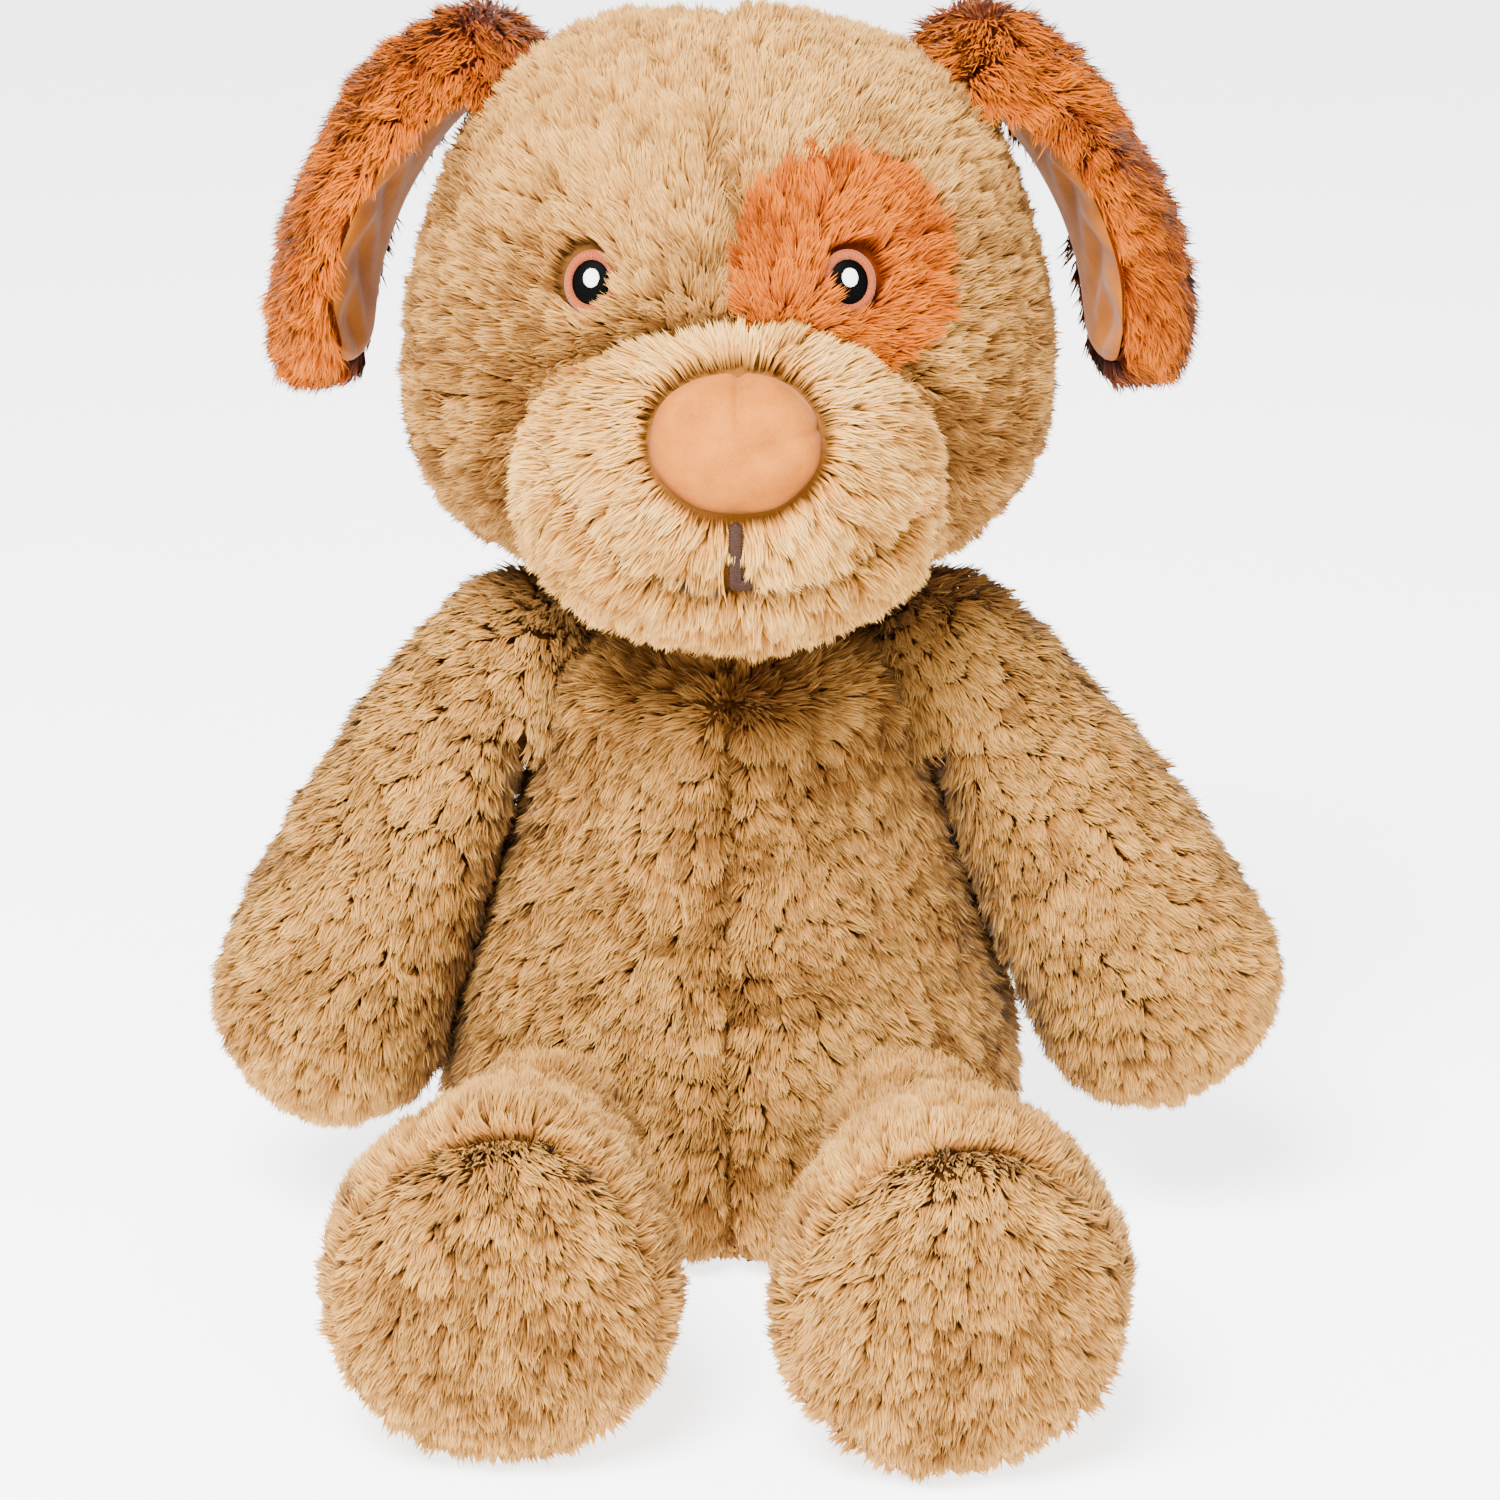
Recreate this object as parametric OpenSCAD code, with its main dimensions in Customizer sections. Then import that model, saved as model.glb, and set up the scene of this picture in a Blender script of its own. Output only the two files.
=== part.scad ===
// Sitting plush dog: a stuffed torso with a head, two ears, two arms, two legs and a tail sewn on.
// Each fabric panel is a shell of plush, and each form is filled with its own wad of stuffing.
// +Z is up, the dog looks along -Y, and its left side is at +X.
// The origin is the middle of the flat seat, on the surface that the dog sits on.

/* [Plush] */
// Thickness of the plush, its knitted backing and its pile together
plush_t = 8; // [5:0.5:10]
// Thickness of the short velboa of the ear linings and the nose
velboa_t = 2; // [1:0.5:3]
// Gap between pieces that move past each other
gap = 0.6; // [0.4:0.1:1]

/* [Torso] */
// Width and depth of the torso at the hips
hip_w = 164; // [140:1:200]
// Width of the chest below the neck
chest_w = 104; // [86:1:124]
// Height of the torso from the seat to its top
torso_h = 172; // [144:1:206]
// Height of the widest part of the hips
hip_h = 38; // [30:1:46]
// Height of the rounded top of the chest
chest_round_h = 22; // [14:1:30]
// Width of the flat that the dog sits on
seat_w = 112; // [90:1:134]
// Height of the seam between the seat and the sides
seat_seam_h = 10; // [8.5:0.5:14]
// Diameter of the bag of pellets that weights the seat
pellet_bag_d = 84; // [60:1:100]
// Thickness of the bag of pellets
pellet_bag_t = 20; // [14:1:26]

/* [Neck] */
// Diameter of the wad of stuffing in the neck
neck_d = 60; // [50:1:70]
// Height of the neck's centre above the top of the torso
neck_rise = 3; // [0:0.5:6]

/* [Head] */
// Width of the head
head_w = 174; // [145:1:208]
// Height and depth of the head
head_d = 160; // [134:1:180]
// How square the head is seen from the front, from 2 for an oval
head_square = 2.4; // [2:0.1:3]
// Height of the head's underside above the neck's centre
head_gap = 2; // [1:0.5:8]
// How far the head's centre is in front of the neck
head_forward = 6; // [0:1:12]
// Distance of the side seam behind the head's centre
side_seam_y = 16; // [8:1:30]

/* [Muzzle] */
// Width of the muzzle
muzzle_w = 112; // [94:1:134]
// Height and depth of the muzzle's round
muzzle_d = 92; // [78:1:104]
// How square the muzzle is seen from the front, from 2 for an oval
muzzle_square = 2.4; // [2:0.1:3]
// How far the muzzle's centre is behind the front of the head's round
muzzle_inset = 22; // [16:1:28]
// Height of the muzzle's underside above the head's underside
muzzle_lift = 1; // [0:0.5:8]
// Height of the smile seam below the muzzle's centre
smile_drop = 19; // [14:1:24]
// Width of the nose
nose_w = 43; // [35:1:52]
// Height of the nose
nose_h = 36; // [30:1:42]
// Height of the nose's centre above the muzzle's centre
nose_rise = 18; // [13:1:24]
// How far the nose's centre sits inside the muzzle's round
nose_sink = 9; // [7:0.5:13]
// Sideways place of the nose and mouth, which are sewn on by eye
nose_shift = 2; // [-4:0.5:4]
// Length of the stitched mouth line
mouth_l = 18; // [12:1:22]
// Width of the stitched mouth line
mouth_w = 3; // [2:0.5:4]

/* [Eyes] */
// Distance between the centres of the eyes
eye_spacing = 64; // [52:1:76]
// Height of the eyes above the head's centre, as an angle round the head
eye_pitch = 15; // [8:1:20]
// Sideways place of the middle of the eyes, which are stitched by eye
eye_shift = -2; // [-4:0.5:4]
// Diameter of the satin-stitched ring
eye_ring_d = 15; // [12:0.5:18]
// Diameter of the black stitched disc
eye_disc_d = 10.5; // [8:0.5:11.5]
// Diameter of the white stitched glint
eye_glint_d = 4; // [2.5:0.5:5]
// Thickness of the embroidery
stitch_t = 2.5; // [1.5:0.5:4]
// Diameter of the coloured patch round the left eye
patch_d = 54; // [46:1:64]
// Distance from the centre seam to the patch
patch_seam = 2; // [1.5:0.5:6]
// Height of the patch's centre above the head's centre
patch_rise = 23; // [18:1:30]

/* [Ears] */
// Greatest width of an ear
ear_w = 62; // [52:1:74]
// Width of an ear along its sewn root
ear_root_w = 46; // [36:1:52]
// Outer radius of the arc that an ear hangs in
ear_arc_r = 80; // [76:1:86]
// How far the arc's centre is inside the side of the head
ear_arc_inset = 49; // [44:1:54]
// Gap between the underside of an ear at its root and the head below it
ear_lift = 0.75; // [0.5:0.25:3]
// Angle of the sewn root round the arc, above level
ear_root_a = 73; // [68:1:76]
// Angle of the ear's tip round the arc, below level
ear_tip_a = 8; // [0:1:20]
// Diameter of the rolled root
ear_roll_d = 9; // [8:0.5:9.5]
// How far an ear's front edge turns outward
ear_yaw = 15; // [0:1:20]

/* [Arms] */
// Diameter of the shoulder
shoulder_d = 46; // [38:1:52]
// Distance of the shoulder's centre outside the chest's side
shoulder_out = 6; // [4:1:9]
// Height of the top of the shoulders above the top of the torso
shoulder_rise = 7; // [2:0.5:9]
// Length from the shoulder's centre to the paw's centre
arm_l = 107; // [90:1:120]
// Diameter of the upper arm
upper_arm_d = 52; // [44:1:56]
// Diameter of the paw
paw_d = 70; // [58:1:74]
// Angle of the left arm out from straight down
left_arm_spread = 35; // [28:1:42]
// Angle of the right arm out from straight down
right_arm_spread = 29; // [26:1:40]
// Angle of the arms forward from straight down
arm_forward = 12; // [0:1:18]

/* [Legs] */
// Distance from the side of the torso in to the centre of a hip
hip_inset = 33; // [28:1:37]
// How much thicker the ball of the hip is than the thigh
hip_swell = 4; // [3:0.5:8]
// How far the hips' centres are outside the torso's widest round
hip_out = 12.25; // [10:0.25:18]
// Length from the hip's centre to the front of the left sole
left_leg_l = 135; // [112:1:160]
// Length from the hip's centre to the front of the right sole
right_leg_l = 128; // [112:1:160]
// Diameter of the leg next to the hip
thigh_d = 56; // [48:1:60]
// Diameter of the foot
foot_d = 94; // [84:1:98]
// Distance from the foot's widest round in to the seam of the sole
sole_inset = 6.5; // [5:0.5:10]
// Gap between the feet
feet_gap = 18; // [8:1:30]

/* [Tail and label] */
// Diameter of the tail at its widest
tail_d = 27; // [23:1:32]
// Diameter of the tail at its root
tail_root_d = 21; // [18:1:22]
// Length of the tail from its root's centre
tail_l = 44; // [36:1:53]
// Height of the tail's root
tail_h = 48; // [40:1:56]
// Angle of the tail above level
tail_up = 40; // [20:1:55]
// Width of the blank care label
label_w = 20; // [15:1:26]
// Length of the care label outside the seam
label_l = 24; // [18:1:32]

/* [Hidden] */
$fn = 72;
sides = ["left", "right"];

tan_plush = "#c8a06e";
pale_plush = "#dcc09a";
orange_plush = "#d87f33";
peach_velboa = "#dca57a";
filling = "#f2efe8";

// Far more than the dog in each direction, for cutting panels apart
far = 400;
label_t = 1;
tail_ball_d = 24;

hip_r = hip_w / 2;
// The label's end, from the torso's axis: its seam is where the torso is about 0.9 of its full round
label_reach = hip_r * 0.9 + label_l;
chest_r = chest_w / 2;
chest_h = torso_h - chest_round_h;
neck_c = [0, 0, torso_h + neck_rise];
head_c = neck_c + [0, -head_forward, head_d / 2 + head_gap];
muzzle_r = muzzle_d / 2;
muzzle_c = head_c + [0, muzzle_inset - head_d / 2, muzzle_lift + muzzle_r - head_d / 2];
nose_r = nose_h / 2;
nose_a = asin(nose_rise / muzzle_r);
nose_c = muzzle_c + (muzzle_r - nose_sink) * [0, -cos(nose_a), sin(nose_a)] + [nose_shift, 0, 0];
mouth_a = 14;
shoulder_c = [chest_r + shoulder_out, 0, torso_h + shoulder_rise - shoulder_d / 2];
hip_ball_d = thigh_d + hip_swell;
hip_x = hip_r - hip_inset;
hip_c = [hip_x, -hip_out - sqrt(pow(hip_r, 2) - pow(hip_x, 2)), foot_d / 2];
// Length of the rounded end of a foot, and how far the sole's seam is behind its front
foot_round_l = foot_d * 0.2;
sole_seam_l = plush_t * 1.6;
tail_c = [0, hip_r + 2, tail_h];
ear_t = plush_t + velboa_t;
ear_in_r = ear_arc_r - ear_t;
ear_mid_r = ear_arc_r - ear_t / 2;
// The root is rolled just above the head's surface, and the arc hangs from it
ear_roll_x = head_w / 2 - ear_arc_inset + ear_mid_r * cos(ear_root_a);
ear_roll_c = [ear_roll_x, 0, head_c[2] + ear_t / 2 + ear_lift
    + sqrt(pow(egg_r(ear_roll_x, head_w / 2, head_d / 2, head_square), 2) - pow(head_forward, 2))];
ear_arc_c = ear_roll_c - ear_mid_r * [cos(ear_root_a), 0, sin(ear_root_a)];

function mix(a, b, t) = a + (b - a) * t;
function ease(t) = (1 - cos(180 * t)) / 2;
function egg_r(x, half_w, r, square) = r * pow(1 - pow(abs(x) / half_w, square), 1 / square);
function side(s) = s == "left" ? 1 : -1;
function spread(s) = s == "left" ? left_arm_spread : right_arm_spread;
function leg_l(s) = s == "left" ? left_leg_l : right_leg_l;
function leg_shaft_l(s) = leg_l(s) - foot_round_l;
function leg_splay(s) = asin(((foot_d + feet_gap) / 2 - hip_x) / leg_shaft_l(s));

// Torso: a round from the flat seat to the hips, a slow taper to the chest and a rounded top.
function torso_profile(i) = concat(
    [[0, i]],
    [for (a = [-90:15:0]) [mix(seat_w / 2 - i, hip_r - i, cos(a)), i + (hip_h - i) * (1 + sin(a))]],
    [for (k = [1:8]) let (t = k / 8) [mix(hip_r, chest_r, (t + ease(t)) / 2) - i, mix(hip_h, chest_h, t)]],
    [for (a = [15:15:90]) [(chest_r - i) * cos(a), mix(chest_h, torso_h - i, sin(a))]]);

// Slope of the cone round the shoulders' axis that keeps the arms outside the torso
arm_clear_x = chest_r - gap;
arm_clear_slope = max([for (p = torso_profile(0))
    if (p[1] < shoulder_c[2] - 20) (p[0] + gap - arm_clear_x) / (shoulder_c[2] - p[1])]);

module torso_form(i) rotate_extrude() polygon(torso_profile(i));

// An egg that lies along X, r thick and half_w long to each side: a superellipse turned round X
module egg(half_w, r, square = 2) rotate([0, 90, 0]) rotate_extrude()
    polygon(concat([[0, -half_w]],
        [for (a = [-80:10:80]) [r * pow(cos(a), 2 / square), half_w * sign(a) * pow(abs(sin(a)), 2 / square)]],
        [[0, half_w]]));

module head_egg(i) translate(head_c) egg(head_w / 2 - i, head_d / 2 - i, head_square);
module muzzle_egg(i) translate(muzzle_c) egg(muzzle_w / 2 - i, muzzle_r - i, muzzle_square);
module nose_egg(i) translate(nose_c) egg(nose_w / 2 - i, nose_r - i);

// The sockets that the limbs, the neck and the tail turn in
module torso_sockets() {
    for (s = [-1, 1]) {
        translate([s * shoulder_c[0], shoulder_c[1], shoulder_c[2]]) sphere(d = shoulder_d + 2 * gap);
        translate([s * hip_c[0], hip_c[1], hip_c[2]]) sphere(d = hip_ball_d + 2 * gap);
    }
    translate(neck_c) sphere(d = neck_d + 2 * gap);
    translate(tail_c) sphere(d = tail_ball_d + 2 * gap);
}

module torso_skin() difference() {
    torso_form(0);
    torso_form(plush_t);
    torso_sockets();
}

// A quarter of space: x > 0 or x < 0 with y > 0 or y < 0, above the seat's seam
module quarter(sx, sy) translate([sx > 0 ? 0 : -far, sy > 0 ? 0 : -far, seat_seam_h]) cube(far);

// The right panels are the left ones turned over
module turned_over(s) mirror([(1 - side(s)) / 2, 0, 0]) children();

module belly_panel(s) color(tan_plush) turned_over(s) intersection() {
    torso_skin();
    quarter(1, -1);
}

module back_panel(s) color(tan_plush) turned_over(s) intersection() {
    torso_skin();
    quarter(1, 1);
}

module seat_panel() color(tan_plush) difference() {
    torso_skin();
    translate([-far, -far, seat_seam_h]) cube(2 * far);
}

// The bag lies on the seat: a disc with a rounded edge
module pellet_bag() color("#8f9aa3") translate([0, 0, plush_t]) rotate_extrude() {
    square([(pellet_bag_d - pellet_bag_t) / 2, pellet_bag_t]);
    intersection() {
        translate([(pellet_bag_d - pellet_bag_t) / 2, pellet_bag_t / 2]) circle(d = pellet_bag_t);
        square([pellet_bag_d, pellet_bag_t]);
    }
}

module torso_stuffing() color(filling) difference() {
    torso_form(plush_t);
    torso_sockets();
    pellet_bag();
}

// The label is sewn into the back's bottom seam, beside the tail
module care_label() color("white") difference() {
    translate([hip_x - label_w, 0, seat_seam_h - label_t / 2])
        cube([label_w, label_reach, label_t]);
    torso_form(0);
    translate([-far, -far, 0]) cube([2 * far, far, far]);
}

// A limb's round form from its thicknesses: points [distance along it, radius], shrunk by i
module limb(points, i) rotate_extrude() polygon(concat(
    [[0, points[0][0] + i]],
    [for (p = points) if (p[1] > i) [p[1] - i, min(p[0], points[len(points) - 1][0] - i)]],
    [[0, points[len(points) - 1][0] - i]]));

function tail_points() = concat(
    [for (k = [0:4]) [tail_l * 0.65 * k / 4, mix(tail_root_d, tail_d, ease(k / 4)) / 2]],
    [for (a = [15:15:90]) [tail_l * (0.65 + 0.35 * sin(a)), tail_d / 2 * cos(a)]]);

module tail_form(i) translate(tail_c) {
    rotate([tail_up - 90, 0, 0]) limb(tail_points(), i);
    sphere(d = tail_ball_d - 2 * i);
}

module tail_cover() color(orange_plush) difference() {
    tail_form(0);
    tail_form(plush_t - 2);
}

module tail_stuffing() color(filling) tail_form(plush_t - 2);

module neck_stuffing() color(filling) translate(neck_c) sphere(d = neck_d);

// Arms: round along their length, pressed flat against a cone so that they swing past the torso
function arm_points() = concat(
    [for (t = [0:0.1:1]) [arm_l * t, mix(upper_arm_d, paw_d, ease(t)) / 2]],
    [for (a = [15:15:90]) [arm_l + paw_d / 2 * sin(a), paw_d / 2 * cos(a)]]);

module arm_axis(s) translate([side(s) * shoulder_c[0], shoulder_c[1], shoulder_c[2]])
    rotate([0, -side(s) * spread(s), 0]) rotate([-arm_forward, 0, 0]) rotate([180, 0, 0]) children();

// The space inside the cone round the shoulders' axis, set i further out
module arm_clearance(s, i) translate([side(s) * (arm_clear_x + i), shoulder_c[1], shoulder_c[2]])
    rotate([0, side(s) * 90, 0])
        difference() {
            translate([0, 0, -far]) cylinder(r = far, h = far + far * arm_clear_slope);
            cylinder(r1 = 0, r2 = far, h = far * arm_clear_slope);
        }

module arm_form(s, i) {
    difference() {
        arm_axis(s) limb(arm_points(), i);
        arm_clearance(s, i);
    }
    arm_axis(s) sphere(d = shoulder_d - 2 * i);
}

module arm_half(s, front) color(tan_plush) intersection() {
    difference() {
        arm_form(s, 0);
        arm_form(s, plush_t);
    }
    arm_axis(s) translate([-far, front ? 0 : -far, -far]) cube([2 * far, far, 2 * far]);
}

module arm_front_panel(s) arm_half(s, true);
module arm_back_panel(s) arm_half(s, false);
module arm_stuffing(s) color(filling) arm_form(s, plush_t);

// Legs: level, round along their length, thin at the thigh and ending in a domed sole
function leg_points(s) = concat(
    [for (k = [0:8]) let (t = k / 8)
        [leg_shaft_l(s) * t, mix(thigh_d, foot_d, ease(max(0, (t - 0.25) / 0.75))) / 2]],
    [for (a = [15:15:90]) [leg_shaft_l(s) + foot_round_l * sin(a), foot_d / 2 * pow(cos(a), 0.7)]]);

module leg_axis(s) translate([side(s) * hip_c[0], hip_c[1], hip_c[2]])
    rotate([0, 0, side(s) * leg_splay(s)]) rotate([90, 0, 0]) children();

module leg_form(s, i) leg_axis(s) {
    limb(leg_points(s), i);
    sphere(d = hip_ball_d - 2 * i);
}

module leg_skin(s) difference() {
    leg_form(s, 0);
    leg_form(s, plush_t);
}

// The sole's panel: what lies in front of the seam's plane, inside the seam's circle
module sole_space(s) leg_axis(s) translate([0, 0, leg_l(s) - sole_seam_l])
    cylinder(d = foot_d - 2 * sole_inset, h = far);

module leg_half(s, top) color(tan_plush) difference() {
    leg_skin(s);
    sole_space(s);
    translate([-far, -far, hip_c[2] - (top ? 2 * far : 0)]) cube(2 * far);
}

module leg_top_panel(s) leg_half(s, true);
module leg_under_panel(s) leg_half(s, false);

module sole_panel(s) color(tan_plush) intersection() {
    leg_skin(s);
    sole_space(s);
}

module leg_stuffing(s) color(filling) leg_form(s, plush_t);

// Head
module neck_socket() translate(neck_c) sphere(d = neck_d + 2 * gap);

// The ear's frame: its root's axis is local Y through the origin of its children
module ear_place(s) mirror([s == "left" ? 0 : 1, 0, 0]) translate(ear_roll_c)
    rotate([0, 0, ear_yaw]) translate(-ear_roll_c) children();

module ear_grooves() for (s = sides) ear_place(s) translate(ear_roll_c)
    rotate([90, 0, 0]) cylinder(d = ear_roll_d + 2 * gap, h = ear_root_w + 2 * gap, center = true);

// Places its children on the head, with +Z along the way out of the surface
module on_head(x, pitch) {
    along = abs(x) / (head_w / 2);
    r = egg_r(x, head_w / 2, head_d / 2, head_square);
    lean = sign(x) * atan(pow(along, head_square - 1) / (head_w / 2)
        / (pow(r / (head_d / 2), head_square - 1) / (head_d / 2)));
    translate(head_c) rotate([-pitch, 0, 0]) translate([x, -r, 0])
        rotate([0, 0, lean]) rotate([90, 0, 0]) children();
}

// The embroidery is sunk by its own thickness less this much
stitch_proud = 0.5;

module on_eye(s) on_head(eye_shift + side(s) * eye_spacing / 2, eye_pitch)
    translate([0, 0, stitch_proud - stitch_t]) children();

module eye_pocket(s) on_eye(s) cylinder(d = eye_ring_d, h = far / 10);

module head_shell() difference() {
    head_egg(0);
    head_egg(plush_t);
    muzzle_egg(0);
    neck_socket();
    ear_grooves();
    for (s = sides) eye_pocket(s);
}

module head_front() translate([-far, head_c[1] + side_seam_y - 2 * far, 0]) cube(2 * far);

module patch_space() translate([patch_seam + patch_d / 2, 0, head_c[2] + patch_rise])
    rotate([90, 0, 0]) cylinder(d = patch_d, h = far);

module face_half(s) intersection() {
    head_shell();
    head_front();
    translate([s == "left" ? 0 : -2 * far, -far, 0]) cube(2 * far);
}

module face_panel_left() color(tan_plush) difference() {
    face_half("left");
    patch_space();
}

module face_panel_right() color(tan_plush) difference() {
    face_half("right");
    patch_space();
}

module eye_patch() color(orange_plush) intersection() {
    head_shell();
    head_front();
    patch_space();
}

module head_back_panel() color(tan_plush) difference() {
    head_shell();
    head_front();
}

module mouth_bar() translate(muzzle_c + [nose_shift, 0, 0]) rotate([mouth_a, 0, 0]) {
    translate([-mouth_w / 2, -muzzle_r - stitch_proud, -mouth_l / 2]) cube([mouth_w, stitch_t, mouth_l]);
    translate([-mouth_w / 2, -muzzle_r - stitch_proud, -mouth_l / 2])
        cube([mouth_w * 2, stitch_t, mouth_w]);
}

module muzzle_shell() difference() {
    muzzle_egg(0);
    muzzle_egg(plush_t);
    head_egg(plush_t);
    nose_egg(0);
    mouth_bar();
}

module above_smile() translate([-far, -far, muzzle_c[2] - smile_drop]) cube(2 * far);

module muzzle_panel() color(pale_plush) intersection() {
    muzzle_shell();
    above_smile();
}

module chin_panel() color(pale_plush) difference() {
    muzzle_shell();
    above_smile();
}

module nose_cover() color(peach_velboa) difference() {
    nose_egg(0);
    nose_egg(velboa_t);
}

module nose_stuffing() color(filling) nose_egg(velboa_t);

module mouth_stitch() color("#4a2f25") mouth_bar();

module head_stuffing() color(filling) difference() {
    union() {
        head_egg(plush_t);
        muzzle_egg(plush_t);
    }
    neck_socket();
    ear_grooves();
    nose_egg(0);
}

module eye_ring(s) color("#c27f58") on_eye(s) difference() {
    cylinder(d = eye_ring_d, h = stitch_t);
    translate([0, 0, -1]) cylinder(d = eye_disc_d, h = stitch_t + 2);
}

module eye_disc(s) color("#1c1c1e") on_eye(s) difference() {
    cylinder(d = eye_disc_d, h = stitch_t);
    translate([0, 0, stitch_t / 2]) cylinder(d = eye_glint_d, h = stitch_t);
}

module eye_glint(s) color("white") on_eye(s)
    translate([0, 0, stitch_t / 2]) cylinder(d = eye_glint_d, h = stitch_t / 2);

// Ears: a flap that hangs in an arc beside the head, wide at the bottom with a round tip
module ear_outline() {
    tip_z = ear_arc_c[2] - ear_arc_r * sin(ear_tip_a);
    hull() {
        translate([0, tip_z + ear_w * 0.4]) circle(d = ear_w * 0.8);
        translate([0, tip_z + ear_w * 0.66]) circle(d = ear_w);
        translate([-ear_root_w / 2, ear_roll_c[2]]) square([ear_root_w, ear_arc_r]);
    }
}

// The flap between two radii of the arc, past the root's roll
module ear_flap(r_out, r_in) difference() {
    intersection() {
        translate(ear_arc_c) rotate([90, 0, 0]) difference() {
            cylinder(r = r_out, h = 2 * ear_w, center = true);
            cylinder(r = r_in, h = 4 * ear_w, center = true);
        }
        translate([ear_arc_c[0], ear_arc_c[1], 0]) rotate([90, 0, 90])
            linear_extrude(far) ear_outline();
    }
    translate(ear_arc_c) rotate([0, -ear_root_a, 0]) translate([0, -far, 0]) cube(2 * far);
}

module ear_roll() translate(ear_roll_c) rotate([90, 0, 0])
    cylinder(d = ear_roll_d, h = ear_root_w, center = true);

module ear_cover(s) color(orange_plush) ear_place(s) {
    ear_flap(ear_arc_r, ear_in_r + velboa_t);
    ear_roll();
}

module ear_lining(s) color(peach_velboa) ear_place(s) difference() {
    ear_flap(ear_in_r + velboa_t, ear_in_r);
    ear_roll();
}

belly_panel("left");  // belly_panel_left
belly_panel("right");  // belly_panel_right
back_panel("left");  // back_panel_left
back_panel("right");  // back_panel_right
seat_panel();
torso_stuffing();
pellet_bag();
care_label();
tail_cover();
tail_stuffing();
neck_stuffing();
face_panel_left();
face_panel_right();
head_back_panel();
eye_patch();
muzzle_panel();
chin_panel();
nose_cover();
nose_stuffing();
mouth_stitch();
head_stuffing();
for (s = sides) {
    eye_ring(s);
    eye_disc(s);
    eye_glint(s);
    ear_cover(s);
    ear_lining(s);
    arm_front_panel(s);
    arm_back_panel(s);
    arm_stuffing(s);
    leg_top_panel(s);
    leg_under_panel(s);
    sole_panel(s);
    leg_stuffing(s);
}
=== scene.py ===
import math
import bpy
import numpy as np
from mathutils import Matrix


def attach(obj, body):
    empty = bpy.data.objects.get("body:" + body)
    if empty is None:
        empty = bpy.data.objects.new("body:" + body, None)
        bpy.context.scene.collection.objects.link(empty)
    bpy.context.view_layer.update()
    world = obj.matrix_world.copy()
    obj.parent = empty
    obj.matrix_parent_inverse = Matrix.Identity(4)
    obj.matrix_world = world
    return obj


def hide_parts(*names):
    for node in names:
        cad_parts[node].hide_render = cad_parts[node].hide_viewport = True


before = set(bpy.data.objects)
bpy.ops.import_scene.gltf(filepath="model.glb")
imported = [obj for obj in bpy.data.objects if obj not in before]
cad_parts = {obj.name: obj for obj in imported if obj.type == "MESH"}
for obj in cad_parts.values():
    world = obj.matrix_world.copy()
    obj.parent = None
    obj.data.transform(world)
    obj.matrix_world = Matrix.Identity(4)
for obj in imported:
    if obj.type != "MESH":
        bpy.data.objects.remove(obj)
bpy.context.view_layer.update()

mm = 0.001
sides = {"left": 1, "right": -1}   # the dog's own left is at +X


# The camera looks slightly down at the seated dog; one soft key light stands above it to the left
stageLook = {
    "cameraAt": (0.0056, -1.2016, 0.4745), "cameraDown": 16, "lens": 107,
    "keyAt": (-0.4, -1.2, 1.55), "keySize": 1.0, "keyWatts": 165,
    "fillAt": (0.7, -1.5, 0.55), "fillSize": 0.9, "fillWatts": 10,
    "backAt": (0.1, 1.2, 1.4), "backSize": 1.2, "backWatts": 10,
    "skyStrength": 1.0,
}


def areaLight(name, at, size, watts, aim=(0, 0, 0.16)):
    lamp = bpy.data.lights.new(name, "AREA")
    lamp.shape, lamp.size, lamp.energy = "DISK", size, watts
    lampObject = bpy.data.objects.new(name, lamp)
    bpy.context.scene.collection.objects.link(lampObject)
    lampObject.location = at
    away = np.array(at) - np.array(aim)
    lampObject.rotation_euler = (math.acos(away[2] / np.linalg.norm(away)), 0,
                                 math.atan2(away[1], away[0]) + math.pi / 2)


cameraData = bpy.data.cameras.new("camera")
cameraData.lens, cameraData.sensor_width = stageLook["lens"], 36
camera = bpy.data.objects.new("camera", cameraData)
bpy.context.scene.collection.objects.link(camera)
camera.location = stageLook["cameraAt"]
camera.rotation_euler = (math.radians(90 - stageLook["cameraDown"]), 0, 0)
bpy.context.scene.camera = camera
for lampName in ("key", "fill", "back"):
    areaLight(lampName, *(stageLook[lampName + part] for part in ("At", "Size", "Watts")))


def hexLinear(code):
    part = np.array([int(code[k:k + 2], 16) for k in (1, 3, 5)]) / 255
    linear = np.where(part <= 0.04045, part / 12.92, ((part + 0.055) / 1.055) ** 2.4)
    return tuple(float(c) for c in linear) + (1.0,)


def node(tree, kind, settings=(), links=()):
    made = tree.nodes.new(kind)   # one node, its own values, and what feeds its sockets
    for key, value in dict(settings).items():
        if key in made.inputs:
            made.inputs[key].default_value = value
        else:
            setattr(made, key, value)
    for socket, source in dict(links).items():
        tree.links.new(source, made.inputs[socket])
    return made


def ramp(tree, stops, factor):
    made = node(tree, "ShaderNodeValToRGB", links={"Fac": factor})
    while len(made.color_ramp.elements) < len(stops):
        made.color_ramp.elements.new(0.5)
    for element, (place, code) in zip(made.color_ramp.elements, stops):
        element.position, element.color = place, hexLinear(code)
    return made.outputs["Color"]


def emptyMaterial(name, **finish):
    material = bpy.data.materials.new(name)
    material.use_nodes = True
    tree = material.node_tree
    shader = tree.nodes["Principled BSDF"]
    for key, value in finish.items():
        shader.inputs[key].default_value = value
    return material, tree, shader


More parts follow.
